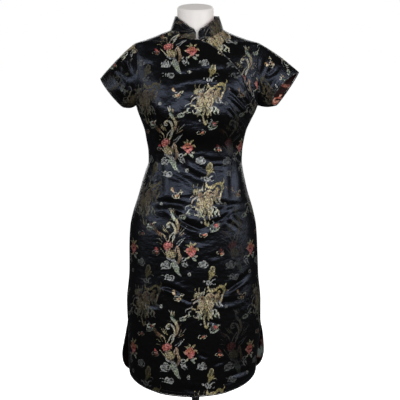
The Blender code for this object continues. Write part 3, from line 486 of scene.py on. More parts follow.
PHOENIX = strokes("""
# shadow threads behind the wing
umber umber 0.6 0  5 8 5  -12,-16 -6,-32 2,-48
# the long tail feather: its crown, eye and spine, and barbs on both sides
white cream 0.3 0.6  1.2 1.8 1.6  -11,96 -7,89 -4,81
white cream 0.3 0.6  1.2 1.8 1.6  -4,97 -2,90 0,83
cream brown 0.3 0.6  1.2 1.6 1.4  4,94 5,87 5,80
white mint 0.6 1.2  3 4.4 3.8  -4,78 1,70 7,62
green green 0 0  1.4 2 1.4  -2,82 1,76
cream beige 0.8 1.4  3.6 4.2 3.4  8,62 13,52 14,42
beige brown 0.6 1  3 2.8 1.6  14,41 12,33 8,26
olive umber 0 0  1.2 1.3 1  12,66 17,68 21,72
brown umber 0 0  1.2 1.3 1  16,54 21,55 25,59
olive umber 0 0  1.2 1.3 1  -2,68 -8,64 -14,66
# the second feather, curled round at its head
white cream 0 0  1.8 2.6 2  -9,45 -16,44 -18,51 -13,57 -6,56
cream olive 0 0  1.2 2 1.4  -13,50 -9,51
white cream 0.5 1.2  2.4 3.4 2.8  -5,56 2,49 6,38
cream white 0.5 1.2  2.8 2.8 1.6  6,37 4,26 -3,15
# pale plumes in a V above the breast
white cream 0.2 0.8  1.2 1.9 1.3  1,31 -8,20 -14,6
cream white 0.2 0.8  1.2 1.8 1.3  -27,23 -22,15 -19,5
white cream 0.2 0.8  1.3 2.3 1.5  4,20 0,12 -4,4
# fine strands about them
olive cream 0 0  1 1.3 1  -35,48 -29,38 -22,29
cream olive 0 0  1 1.3 1  -28,47 -23,37 -16,28
olive gold 0 0  1 1.3 1  -21,42 -16,33 -10,25
gold olive 0 0  1 1.3 1  -43,28 -35,20 -28,9
olive cream 0 0  1 1.2 1  -47,14 -39,10 -32,3
olive olive 0 0  1 1.2 1  -47,1 -39,0 -32,-4
# leaf-shaped crest to the left
brown umber 0.6 1  1.6 2.6 1.8  -55,35 -52,41 -46,38
umber brown 0.6 1  3.6 5.8 4  -51,33 -43,28 -35,22
orange beige 0.4 1  1 1.6 1.2  -44,33 -37,29 -31,23
cream beige 0.3 0.6  1.3 1.9 1.3  -31,26 -24,19 -20,8
# antler-like barbs to the right
grey olive 0 0  1 1.4 1  38,47 30,37 20,28
brown grey 0 0  1 1.3 1  25,44 20,34 16,22
beige brown 0 0  1 1.3 1  33,31 24,25 14,20
white grey 0 0  1.1 1.6 1  32,17 22,5 9,-9
grey grey 0 0  1 1.3 1  25,14 15,5 6,-1
# breast
coral coral 0.7 0.2  2.4 3.6 2.4  -23,0 -26,-8 -23,-16
rose coral 0.7 0.2  2.6 3.8 2.4  -17,3 -18,-6 -17,-16
rose red 0.7 0.2  2.4 3.4 2.2  -10,3 -11,-5 -9,-12
coral peach 0.7 0.2  1.8 2.4 1.6  -4,1 -4,-5 -4,-10
white rose 0.2 0  1.2 1.8 1.2  -23,-18 -18,-19 -13,-18
cream gold 0.2 0  1.6 2.4 1.6  -12,-15 -9,-17
# scales under it, and the wing's pale edge
cream grey 0 0  1.1 1.6 1.2  -38,-13 -28,-24 -20,-34 -13,-45
cream gold 0.8 1  1.8 3.2 2.4  -20,-22 -16,-30 -12,-38
cream beige 0.8 1  2.2 3.4 2.6  -13,-20 -9,-28 -5,-37
gold cream 0.8 1  2.2 3.4 2.4  -6,-18 -2,-26 1,-35
brown olive 0.8 1  1.8 2.8 2  1,-16 4,-24 6,-33
# the neck and head beside them
peach beige 0.7 1.2  1.8 3.4 3.6  9,-6 13,-15 15,-26
beige brown 0.7 1.2  3.6 4.6 3.4  16,-29 18,-38 15,-47
brown umber 0.5 1  3 2.8 1.4  14,-50 11,-55 7,-58
white peach 0 0  1.2 1.8 1  7,-11 5,-18 8,-24
# pale band of the wing, and its long tip
white grey 0.6 0.8  2 3 2.2  -19,-40 -11,-43 -3,-46
grey white 0.6 0.8  2 2.8 2  -7,-46 1,-47 8,-51
mint grey 0.8 0.7  3.8 5.6 4.6  -2,-54 2,-62 7,-71
grey mint 0.8 0.7  3 4.4 3.6  6,-54 10,-64 13,-74
mint grey 0.7 0.7  5.4 4.4 0.9  9,-73 14,-80 23,-91
""")
DRAGON = strokes("""
# shadow threads behind the coils
umber umber 0.6 0  10 13 10  -22,2 -14,-18 -8,-44
umber umber 0.6 0  8 12 10  6,0 8,-22 6,-48
brown beige 0.9 1.4  6 8 5  -20,0 -16,-18 -15,-38
beige brown 0.9 1.4  5 8 5  3,0 6,-20 5,-38
# the raised tip of the tail, looped over at its top
olive gold 0.6 0.8  3 5 4.6  6,46 9,57 14,70
olive umber 0.8 0.8  3.2 4.4 3.2  11,68 13,74 15,78
olive cream 0.2 0  1.5 2 1.5  7,60 7,72 12,81 18,78 19,68
olive gold 0.3 0  1.4 2.2 1.4  12,52 17,58 21,64
gold olive 0 0  1 1.4 1  4,58 3,66 5,73
cream grey 0 0  1 1.3 1  19,56 25,55 29,50
# cloud at its foot
white white 0.3 0  2.2 3.2 2.2  -12,41 -9,40
white white 0 0  1.6 2.4 1.6  -3,42 -2,35 2,30
white grey 0 0  1.6 2.6 1.6  2,43 6,38 4,32
white white 0 0  1.4 2.2 1.4  6,31 11,33 12,38
white grey 0 0  1.3 1.8 1  10,39 16,44 24,46
grey white 0 0  1.1 1.4 1  12,32 18,31 23,34
# the ribbon of its back, hanging in a loop and rising again
cream gold 0.4 0.6  2.2 3.2 2.6  1,25 4,16 12,13 20,15 28,21
cream beige 0 0  1.1 1.4 1.1  9,19 15,19 21,22
gold olive 0.7 1  3 5 4.2  28,22 36,25 44,21 47,11
olive brown 0.6 1  2.2 2.8 1.6  47,12 45,4 38,0
gold olive 0 0  1.2 1.6 1  47,24 52,31 50,39
beige brown 0 0  1.1 1.5 1  51,14 57,14 62,8
# its far flank, woven dull
gold brown 0.9 1.2  3 4.4 3.4  33,12 29,0 32,-12
beige olive 0.9 1.2  3 4.4 2.8  24,4 23,-12 28,-28
cream beige 0.6 0.8  2 3.2 2.2  43,2 39,-12 34,-24
gold brown 0.2 0.6  1.4 2 1.2  26,12 33,7 38,10
grey white 0.4 0.8  1.6 2.4 1.4  31,-14 37,-24 44,-30
# head: brow, eye ring, muzzle and whiskers
cream beige 0.2 0  1.4 2 1.4  -6,-6 0,4 9,7 18,2 21,-6
beige peach 0 0  1.2 1.5 1.2  3,-4 9,0 15,-3
beige brown 0 0  1.3 1.7 1.3  -19,-12 -20,-5 -13,-2 -8,-8 -11,-15
brown umber 0 0  1.2 2 1.2  -15,-8 -12,-10
gold white 0 0  1.2 1.8 1.2  9,-6 14,-9 17,-7
umber umber 0 0  1.2 1.8 1  10,1 15,1 18,-2
white grey 0 0  1 1.3 1  24,-20 28,-28 36,-30 43,-26
# mane
olive cream 0.7 0.8  2.2 3.8 2.2  -33,-6 -33,3 -27,9
cream olive 0.7 0.8  2.2 4 2.4  -27,-4 -25,5 -18,10
grey cream 0.6 0.8  2.2 3.6 2  -20,-1 -17,7 -9,10
white olive 0 0  1.2 1.5 1  -10,4 -9,14 -5,24
cream olive 0 0  1.1 1.4 1  -21,10 -23,17 -20,24
olive gold 0 0  1.1 1.4 1  -30,10 -34,16 -33,23
cream gold 0 0  1.1 1.4 1  -3,8 0,15 -1,22
# coils of the body, each bent its own way
cream beige 0.6 1.2  2.2 3.6 2.2  -22,-14 -17,-22 -21,-31 -16,-40
beige cream 0.6 1.2  2.2 3.6 2.2  -13,-14 -9,-23 -14,-32 -10,-41
cream gold 0.6 1.2  2.2 3.8 2.2  -5,-8 0,-18 -5,-29 -1,-40
beige cream 0.6 1.2  2.2 3.6 2.2  4,-10 8,-20 4,-30 7,-39
cream beige 0.6 1.2  2 3.4 2  13,-14 17,-23 13,-32 15,-40
white cream 0 0  1.1 1.6 1  -27,-18 -22,-23 -24,-30
gold brown 0.5 1  1.4 2.2 1.2  -29,-24 -25,-32 -28,-40
# the forelegs and their claws
white beige 0 0  1.8 2 1.3  -22,-12 -32,-15 -39,-22 -42,-30
white grey 0 0  1.3 1.6 1  -42,-31 -49,-34 -57,-38 -60,-46
beige white 0 0  1.2 1.5 1  -33,-8 -41,-10 -45,-17
white mint 0 0  1.3 2 1.2  -43,-43 -50,-46 -49,-54 -42,-56
white grey 0 0  1.2 1.6 1  -55,-49 -53,-57 -46,-61
white cream 0 0  1.6 2.4 1.4  -38,-36 -32,-38 -30,-45
# curling locks below
cream white 0.3 0.6  1.8 3.2 1.8  -31,-46 -25,-44 -22,-51 -26,-58 -21,-64
cream mint 0.3 0.6  1.8 3.2 1.8  -19,-42 -14,-49 -19,-56 -14,-63
white cream 0 0  1.5 2.2 1.2  -36,-50 -34,-58 -28,-61
olive cream 0.8 0.8  2 3 1.8  -8,-42 -5,-53 -9,-64 -4,-76
cream olive 0.6 0.8  1.8 3 1.6  2,-42 6,-53 1,-64
olive cream 0.7 0.8  2 3.2 2  12,-44 9,-54 14,-64
grey olive 0.6 0.6  1.6 2.8 1.6  -26,-50 -20,-58 -24,-68
white cream 0 0  1.8 3 1.7  9,-41 15,-42 15,-50 10,-54 14,-61
white mint 0 0  1.8 2.9 1.6  19,-38 25,-41 26,-49 21,-54 26,-61
cream white 0 0  1.4 2.2 1.2  28,-44 33,-50 32,-58 36,-63
cream gold 0 0  1.2 1.6 1  8,-58 5,-66 8,-72
# cloud below
white white 0.3 0  2 3.2 2  -18,-78 -14,-79
cream gold 0.4 0.6  2 3.6 2.2  -6,-76 -4,-84 1,-90
cream mint 0.3 0  1.6 2.6 1.6  4,-76 4,-83 8,-87
grey white 0 0  1 1.4 1  7,-87 14,-86 18,-79 13,-74
""")
LARGE = {
    "peony": ((0.0, 0.0), PEONY),
    "phoenix": ((-48.0, 18.0), PHOENIX),
    "dragon": ((46.0, -126.0), DRAGON),
}
# Small motifs strewn between the large ones: what each is, where, its size and its slope.
SMALL = (
    ("cloud", -70, -43, 1.15, 8),
    ("long_cloud", -63, -76, 1.15, 4),
    ("cloud", 33, -39, 1.05, -6),
    ("ring", -4, -66, 1.1, 0),
    ("branch", -17, -33, 1.15, 0),
    ("ingots", -36, -130, 1.15, -6),
    ("ring", -81, -157, 0.9, 0),
    ("small_cloud", 66, 58, 1.25, 12),
    ("berry", 35, 41, 1.2, 8),
    ("berry", 82, -9, 1.1, -8),
    ("bud", -97, 0, 1.1, 0),
    ("small_cloud", -113, 65, 1.0, 0),
    ("coin", 6, -162, 0.9, 0),
    ("small_cloud", -20, -190, 0.9, 10),
    ("bud", 70, -214, 0.8, 0),
)
SMALL_STROKES = {
    "cloud": strokes("""
white white 0 0  1.3 1.6 1.2  -3,-3 -9,-3 -11,2 -7,6 -3,4 -5,1
white white 0 0  1.3 1.7 1.2  -3,6 0,10 6,9 7,4 3,2 1,5
white grey 0 0  1.3 1.7 1.2  7,5 12,4 13,-2 8,-5 4,-2 8,0
grey white 0 0  1 1.6 0.8  -14,-7 -6,-6 2,-8 10,-8
grey white 0.3 0  1.8 2.8 1.8  -3,0 2,-2 5,-4
grey grey 0.3 0  2 2.6 2  -7,1 -1,5 3,5
"""),
    "long_cloud": strokes("""
grey white 0 0  0.6 1.5 1.4  -20,4 -13,5 -7,2 -3,3
white white 0 0  1.3 1.7 1.2  -6,-2 -5,5 1,6 4,2 1,-1 -1,2
white grey 0 0  1.3 1.7 1.2  5,3 10,5 15,1 14,-4 9,-5 8,-1
white grey 0 0  1.6 2.6 1.4  -2,-4 4,-6 11,-8
grey white 0 0  0.8 1.4 0.8  -14,-2 -8,-4 -3,-5
grey grey 0.3 0  1.8 2.6 1.8  -2,1 4,-1 10,-2
"""),
    "small_cloud": strokes("""
mint white 0 0  1.3 1.7 1.2  -3,-2 -8,-2 -10,2 -6,5 -3,2
white mint 0 0  1.3 1.9 1.3  -3,4 1,6 6,4 5,0 1,0
cream white 0 0  1.3 2 1  7,5 12,8 16,7
grey mint 0 0  1.2 2.2 1  -10,-5 -2,-5 6,-3 11,1
"""),
    "ring": strokes("""
white grey 0 0  1.4 1.6 1.4  4,0 2,3.6 -2,3.6 -4,0 -2,-3.6 2,-3.6 4,0
cream cream 0 0  0.9 0.9 0.9  -0.4,0 0.4,0
"""),
    "coin": strokes("""
cream gold 0 0  1.2 1.2 1.2  3,0 0,3 -3,0 0,-3 3,0
"""),
    "branch": strokes("""
white white 0 0  1.3 1.6 1.2  -3,3 -7,6 -4,11 2,10 2,5 -2,4
grey white 0 0  1.2 1.5 0.8  -8,0 -2,-1 4,-6 10,-11
white grey 0 0  1.3 1.8 1.2  3,3 4,-2 8,-6
grey white 0 0  1.4 1.9 1  -4,-3 -2,-8 3,-12
white white 0 0  1 1.5 0.8  -10,2 -6,-3 -5,-8
"""),
    "ingots": strokes("""
cream peach 0 0  2 3.2 2.2  -13,10 -9,8 -6,5
gold orange 0 0  1.2 1.8 1  -14,14 -10,14 -7,11
white cream 0 0  1.2 1.5 1  -8,-2 -8,-7 0,-9 8,-7 9,-1
cream orange 0.4 0  2 3.4 2.4  -3,-3 1,-4 5,-2
white cream 0 0  1.2 1.7 1  -6,1 -1,4 4,2 8,5 13,6 12,1
gold white 0 0  1 1.4 0.8  8,9 12,10 16,7
"""),
    "berry": strokes("""
white cream 0 0  1.1 1.5 1.1  -3,3 -7,4 -10,0 -7,-3 -3,-2
orange coral 0 0  2.4 3.2 2.4  0,0 4,0
white cream 0 0  0.9 1.3 0.9  0,5 5,5 9,1 6,-4 0,-5
"""),
    "bud": strokes("""
red coral 0 0  2.2 3.2 2.2  -3,1 2,1
grey coral 0 0  1 1.5 0.9  -7,-2 -2,-5 4,-4 7,0
red red 0 0  1 1.4 0.6  -3,5 1,6
"""),
}
# Every second column of motifs is painted darker. This is painted shade for the falloff of light
# towards the dress's sides. The table gives how bright each kind is there.
PAINTED_SHADE_BRIGHTNESS = {"peony": 0.42, "phoenix": 0.075, "dragon": 0.20, "small": 0.24}
STROKE_STEPS = 4
STROKE_HALO = 0.5
ORNAMENT_LIMIT = 6.0
# the weave wanders off the drawing by this much, in lumps of this length
WOBBLE, WOBBLE_LENGTH, WOBBLE_SEEDS = 1.3, 8.0, (21, 22)
# lines are drawn in the cloth up to this far in millimetres from a free edge or a seam
LINE_REACH = 40.0

# The cloth's lines, as (place, half width) in millimetres from a free edge or a seam.
STITCH_LINE, BINDING_LINE, SEAM_LINE = (9.5, 0.7), (3.2, 0.6), (0.0, 0.9)
# the share of a line's half width that has its full depth
LINE_CORE = 0.4
# lengths in millimetres along a stroke: rows of floats, single threads, the piping's twist and
# the distance between its painted highlights
FLOAT_ROW, FLOAT_THREAD = 5.4, 1.5
PIPING_TWIST, PIPING_PAINTED_HIGHLIGHT = 2.4, 23.0
# the brocade's warp and weft threads, as the scale of a wave
WARP_SCALE, WEFT_SCALE = 420.0, 300.0
# on the reverse, mint floats fill one band of wefts in each repeat, and one repeat in two is
# bright: the band's middle and half of it
MINT_WEFT, BRIGHT_REPEAT = (0.252, 0.026), (0.200, 0.095)


# -------- curves, lines and grids


def smooth_curve(knots, values, at):
    """A smooth curve through the knots that never overshoots them."""
    at = np.clip(np.asarray(at, float), knots[0], knots[-1])
    steps = np.diff(knots)
    rises = np.diff(values) / steps
    slopes = np.zeros(len(knots))
    slopes[0], slopes[-1] = rises[0], rises[-1]
    for i in range(1, len(knots) - 1):
        if rises[i - 1] * rises[i] > 0:
            before, after = steps[i - 1], steps[i]
            share = (before + 2 * after) / (3 * (before + after))
            slopes[i] = rises[i - 1] * rises[i] / (share * rises[i] + (1 - share) * rises[i - 1])
    i = np.clip(np.searchsorted(knots, at, side="right") - 1, 0, len(steps) - 1)
    h = steps[i]
    t = (at - knots[i]) / h
    start = (1 + 2 * t) * (1 - t) ** 2 * values[i] + t**2 * (3 - 2 * t) * values[i + 1]
    return start + t * (1 - t) ** 2 * h * slopes[i] - t**2 * (1 - t) * h * slopes[i + 1]


def curve(columns, name, at):
    """A smooth curve of one column of a table over its first column."""
    return smooth_curve(next(iter(columns.values())), columns[name], at)


def section(name, z):
    return curve(SECTIONS, name, z)


def unit(vectors):
    return vectors / np.maximum(np.linalg.norm(vectors, axis=-1, keepdims=True), 1e-12)


def run_along(points, axis=0):
    """How far each point lies from the first one, along a line or a grid's axis."""
    steps = np.linalg.norm(np.diff(points, axis=axis), axis=-1)
    return np.insert(np.cumsum(steps, axis=axis), 0, 0.0, axis=axis)


def nearest_on(line, x, y):
    """For each point (x, y): its distance to a line of points, the nearest step of the line, and
    the share of that step where it is nearest."""
    distance = np.full(x.shape, np.inf)
    step, share = np.zeros(x.shape, int), np.zeros(x.shape)
    for i, (start, end) in enumerate(zip(line, line[1:])):
        run, rise = end - start
        from_x, from_y = x - start[0], y - start[1]
        t = np.clip((from_x * run + from_y * rise) / (run**2 + rise**2), 0, 1)
        d = np.hypot(from_x - t * run, from_y - t * rise)
        closer = d < distance
        distance[closer], step[closer], share[closer] = d[closer], i, t[closer]
    return distance, step, share


def soft_noise(x, y, seed):
    """Smooth noise between about -1 and 1, with a lump at each whole number."""
    lattice = np.random.default_rng(seed).uniform(-1, 1, (NOISE_CELLS, NOISE_CELLS))
    x0, y0 = np.floor(x).astype(int), np.floor(y).astype(int)
    s, t = x - x0, y - y0
    s, t = s * s * (3 - 2 * s), t * t * (3 - 2 * t)
    x0, y0 = x0 % NOISE_CELLS, y0 % NOISE_CELLS
    x1, y1 = (x0 + 1) % NOISE_CELLS, (y0 + 1) % NOISE_CELLS
    low = lattice[x0, y0] * (1 - s) + lattice[x1, y0] * s
    high = lattice[x0, y1] * (1 - s) + lattice[x1, y1] * s
    return low * (1 - t) + high * t


# -------- the dress's surface


def signed_power(value, power):
    return np.sign(value) * np.abs(value) ** power


def smooth_point(angle, z):
    """The dress's surface without folds. angle is 0 at the front, a quarter turn at +X."""
    angle, z = np.broadcast_arrays(np.asarray(angle, float), np.asarray(z, float))
    across = signed_power(np.sin(angle), 2 / SECTION_POWER)
    along = signed_power(np.cos(angle), 2 / SECTION_POWER)
    is_front = along >= 0
    flare = np.where(is_front, 0.0, curve(BACK_FLARE, "extra_half_width", z))
    depth = np.where(is_front, section("front_depth", z), section("back_depth", z))
    x = section("shift", z) + (section("half_width", z) + flare) * across
    bust_x, bust_z = (np.abs(x) - BUST_X) / BUST_SPREAD_X, (z - BUST_Z) / BUST_SPREAD_Z
    rise = BUST_RISE * np.exp(-(bust_x**2) - bust_z**2) * np.clip(along, 0, 1)
    return np.stack([x, -depth * along - rise, z], axis=-1)


def normal_from(surface, angle, z):
    around = surface(angle + ANGLE_STEP, z) - surface(angle - ANGLE_STEP, z)
    return unit(np.cross(around, surface(angle, z + Z_STEP) - surface(angle, z - Z_STEP)))


def fold_offset(x, z, facing):
    """How far the folds move the cloth in or out: a trough with a low ridge on each side."""
    total = np.zeros_like(x)
    columns = FOLDS[facing]
    t = np.linspace(0, 1, FOLD_STEPS + 1)
    weights = np.stack([2 * (t - 0.5) * (t - 1), 4 * t * (1 - t), 2 * t * (t - 0.5)])
    for row in range(len(columns["x0"])):
        fold = {name: cells[row] / 1000 for name, cells in columns.items()}
        line = np.stack([[fold[axis + n] for n in "012"] @ weights for axis in "xz"], axis=-1)
        reach = FOLD_REACH * fold["width"]
        low, high = line.min(axis=0) - reach, line.max(axis=0) + reach
        near = (x > low[0]) & (x < high[0]) & (z > low[1]) & (z < high[1])
        distance, step, share = nearest_on(line, x[near], z[near])
        along = np.clip((step + share) / FOLD_STEPS, FOLD_END, 1 - FOLD_END)
        across = distance / fold["width"]
        ridge = RIDGE_SHARE * np.exp(-((across - RIDGE_AT) ** 2))
        depth = fold["depth"] * np.sin(np.pi * along) ** FOLD_FADE
        total[near] += depth * (ridge - np.exp(-(across**2)))
    return total


def ripple(x, z):
    """Small uneven lumps all over the cloth, fading out towards the neck."""
    total = np.zeros_like(x)
    for across, up, height, seed in zip(*RIPPLES.values()):
        total += height * soft_noise(x / across, z / up, int(seed))
    fade = np.clip((RIPPLE_TOP - z) / RIPPLE_FADE, 0, 1)
    return total * np.interp(z, *RIPPLE_SHARES.values()) * fade


def folded_point(angle, z):
    """The dress's surface with its folds, which fade out at the side seams."""
    point = smooth_point(angle, z)
    angle = np.broadcast_to(np.asarray(angle, float), point.shape[:-1])
    x, level = point[..., 0], point[..., 2]
    is_front = np.cos(angle) >= 0
    offset = np.where(is_front, fold_offset(x, level, "front"), fold_offset(x, level, "back"))
    offset += ripple(x + np.where(is_front, 0.0, 1.0), level)
    offset *= 1 - np.abs(np.sin(angle)) ** SEAM_FADE
    return point + normal_from(smooth_point, angle, level) * offset[..., None]


def angle_at(x, z):
    """The angle on the front at which the dress's surface has this x."""
    share = (x - section("shift", z)) / section("half_width", z)
    return np.arcsin(np.clip(signed_power(share, SECTION_POWER / 2), -1, 1))


def armhole_angle(z):
    """Where the armhole's edge lies on the front half at a level, as an angle from the front."""
    share = np.clip(curve(ARMHOLES, "half_width", z) / section("half_width", z), 0, 1)
    return np.arcsin(share ** (SECTION_POWER / 2))


def neckline(turn):
    """(angle, z) on the dress's surface of the neckline's point at this turn about the neck."""
    is_front = math.cos(turn) >= 0
    depth, power = (NECK_FRONT, NECK_POWER_FRONT) if is_front else (NECK_BACK, NECK_POWER_BACK)
    x = NECK_X + NECK_HALF * float(signed_power(math.sin(turn), 2 / power))
    y = depth * float(abs(math.cos(turn)) ** (2 / power))
    low, high = TIP_Z, SECTIONS["z"][-1]
    for _ in range(NECKLINE_HALVINGS):
        z = (low + high) / 2
        across = (x - section("shift", z)) / section("half_width", z)
        along = y / section("front_depth" if is_front else "back_depth", z)
        inside = abs(across) ** SECTION_POWER + along**SECTION_POWER < 1
        low, high = (z, high) if inside else (low, z)
    along = along ** (SECTION_POWER / 2)
    sideways = signed_power(across, SECTION_POWER / 2)
    return math.atan2(sideways, along if is_front else -along), z


def hem_height(share, is_back):
    """The hem's level at a share of the way from a panel's middle to its slit."""
    level = curve(HEMS, "back_z" if is_back else "front_z", np.abs(share))
    return level + share * (BACK_HEM_TILT if is_back else FRONT_HEM_TILT)


def armhole():
    """The levels up an armhole, and the angle of its front edge at each."""
    share = (1 - np.cos(np.pi * np.arange(ARM_ROWS + 1) / ARM_ROWS)) / 2
    levels = UNDERARM_Z + (TIP_Z - UNDERARM_Z) * share
    angles = armhole_angle(levels)
    angles[[0, -1]] = math.pi / 2
    return levels, angles


def panel_grid(is_back):
    """Angles and levels of a panel's grid points, from the hem's row to the neckline's row."""
    shares = np.linspace(-1, 1, PANEL_COLUMNS + 1)

    def angles_to(reach):
        return math.pi - shares * reach if is_back else shares * reach

    quarter = angles_to(math.pi / 2)
    hem = hem_height(shares, is_back)
    rows = []
    for share in np.arange(HEM_ROWS) / HEM_ROWS:
        level = hem + (HEM_ZONE_TOP - hem) * share
        drawn_in = SLIT_OPENING * np.clip((SLIT_TOP - level) / SLIT_OPENING_LENGTH, 0, 1)
        rows.append((angles_to(math.pi / 2 - shares**2 * drawn_in), level))
    body = np.linspace(HEM_ZONE_TOP, UNDERARM_Z, BODY_ROWS, endpoint=False)
    rows += [(quarter, z) for z in body]
    rows += [(angles_to(reach), z) for z, reach in zip(*armhole())]
    neck_angle, neck_z = np.array([neckline(turn) for turn in quarter]).T
    neck_angle = np.unwrap(neck_angle)
    if is_back:
        neck_angle = np.where(neck_angle < 0, neck_angle + 2 * math.pi, neck_angle)
    for share in np.arange(1, NECK_ROWS + 1) / NECK_ROWS:
        rows.append((quarter + (neck_angle - quarter) * share, TIP_Z + (neck_z - TIP_Z) * share))
    return np.stack([np.broadcast_arrays(*row) for row in rows], axis=1)


def grid_normals(grid, inner, closed=False):
    """Unit normals of a grid of points, on the side away from a line of inner points."""
    across = np.gradient(grid, axis=1)
    if closed:
        across = np.roll(grid, -1, axis=1) - np.roll(grid, 1, axis=1)
    normals = unit(np.cross(across, np.gradient(grid, axis=0)))
    return normals if np.sum(normals * (grid - inner)) > 0 else -normals


# -------- brocade on a piece


def stroke_line(known):
    """Points along a smooth line through the given ones."""
    padded = np.vstack([2 * known[0] - known[1], known, 2 * known[-1] - known[-2]])
    line = []
    for i in range(len(known) - 1):
        before, start, end, after = padded[i : i + 4]
        for t in np.arange(STROKE_STEPS) / STROKE_STEPS:
            bend = (2 * before - 5 * start + 4 * end - after) * t**2
            twist = (3 * start - before - 3 * end + after) * t**3
            line.append((2 * start + (end - before) * t + bend + twist) / 2)
    return np.array([*line, known[-1]])


def all_strokes():
    """Every stroke of one repeat, from the bottom up: its row, its line, and how bright it is in
    the columns painted darker as painted shade."""
    found = []
    for name, (at, motif) in LARGE.items():
        found += [(row, np.array(at) + stroke_line(row["points"]), PAINTED_SHADE_BRIGHTNESS[name]) for row in motif]
    for kind, x, y, size, slope in SMALL:
        turn = math.radians(slope)
        rotation = np.array([[math.cos(turn), math.sin(turn)], [-math.sin(turn), math.cos(turn)]])
        for row in SMALL_STROKES[kind]:
            line = np.array((x, y)) + size * stroke_line(row["points"]) @ rotation
            found.append((row, line, PAINTED_SHADE_BRIGHTNESS["small"]))
    return found


def brocade(u, v, painted_shade_floor):
    """For points of flat cloth in millimetres: how deep each lies inside a motif (below 0 is
    ground), the floats' colour with the painted shade of the darker columns, and the phase and
    depth of its strands."""
    tile = 1000 * np.array([REPEAT_WIDTH, REPEAT])
    wander = [soft_noise(u / WOBBLE_LENGTH, v / WOBBLE_LENGTH, seed) for seed in WOBBLE_SEEDS]
    u, v = u + WOBBLE * wander[0], v + WOBBLE * wander[1]
    deep = np.full(u.shape, -ORNAMENT_LIMIT)
    colour = np.zeros((len(u), 3))
    phase, strand = np.zeros(u.shape), np.zeros(u.shape)
    for stroke, line, dull in all_strokes():
        middle = (line.min(axis=0) + line.max(axis=0)) / 2
        reach = np.ptp(line, axis=0) / 2 + max(stroke["widths"]) + ORNAMENT_LIMIT
        repeat = np.floor((u - middle[0] + tile[0] / 2) / tile[0])
        x = u - middle[0] - repeat * tile[0]
        y = np.mod(v - middle[1] + tile[1] / 2, tile[1]) - tile[1] / 2
        near = np.flatnonzero((np.abs(x) < reach[0]) & (np.abs(y) < reach[1]))
        distance, step, t = nearest_on(line - middle, x[near], y[near])
        share = (step + t) / (len(line) - 1)
        inside = np.interp(share, (0, 0.5, 1), stroke["widths"]) - distance
        # a stroke that lies over others keeps a thin line of ground beside it
        cut = np.minimum(deep[near], -inside - STROKE_HALO)
        below = np.where(inside > -STROKE_HALO, cut, deep[near])
        on_top = inside > below
        deep[near] = np.where(on_top, inside, below)
        chosen, blend = near[on_top], share[on_top, None]
        start, end = (np.array(PALETTE[stroke[key]]) for key in ("start", "end"))
        # odd repeats across are painted shade: their floats are darkened for the falloff of light
        # towards the dress's sides
        bright = np.where(np.mod(repeat[chosen], 2) == 0, 1.0, max(dull, painted_shade_floor))[:, None]
        colour[chosen] = (start * (1 - blend) + end * blend) * bright
        along = np.interp(step + t, np.arange(len(line)), run_along(line))
        phase[chosen] = (along + stroke["slant"] * distance)[on_top]
        strand[chosen] = stroke["strands"]
    deep = np.clip(deep, -ORNAMENT_LIMIT, ORNAMENT_LIMIT)
    return {"deep": deep, "dye": colour, "phase": phase, "strand": strand}


def cloth_fields(u, v, edge, seam=LINE_REACH / 1000, painted_shade_floor=0.0):
    """A piece's fields at each point of its wall, outside and then inside: its place in the flat
    cloth, the brocade there, and how far in millimetres it lies from a free edge and a seam."""
    index = np.arange(u.size).reshape(u.shape)
    sides = np.concatenate([index.ravel(), index[::2, ::2].ravel()])
    fields = {"flat": np.stack([u, v, np.zeros_like(u)], axis=-1).reshape(-1, 3)}
    fields |= brocade(u.ravel() * 1000, v.ravel() * 1000, painted_shade_floor)
    for name, distance in (("edge", edge), ("seam", seam + np.zeros_like(u))):
        fields[name] = np.clip(distance.ravel() * 1000, -LINE_REACH, LINE_REACH)
    return {name: value[sides] for name, value in fields.items()}


def panel_flat(middle, is_back):
    """Where each point of a panel lies in the flat cloth: from its middle line, and up it."""
    run = run_along(middle, 1)
    run -= run[:, [PANEL_COLUMNS // 2]]
    z = middle[..., 2]
    beside = np.abs(middle[..., 0] - DART_SHIFT) > DART_X
    run += np.sign(run) * beside * curve(DARTS, "intake", z)
    if is_back:
        return BACK_SHIFT - run, curve(GRAIN, "back_repeats", z) * REPEAT
    across = run - curve(GRAIN, "front_lean", z) + section("shift", z)
    return across, curve(GRAIN, "front_repeats", z) * REPEAT


def dart_distance(middle):
    """How far each point lies from the nearer dart's seam, where there is a dart."""
    x, z = middle[..., 0], middle[..., 2]
    beyond = np.abs(x - DART_SHIFT) - DART_X
    past_end = np.maximum(DART_LOWEST - z, z - DART_HIGHEST)
    return np.where(past_end > 0, np.sign(beyond) * np.hypot(beyond, past_end), beyond)


# -------- materials


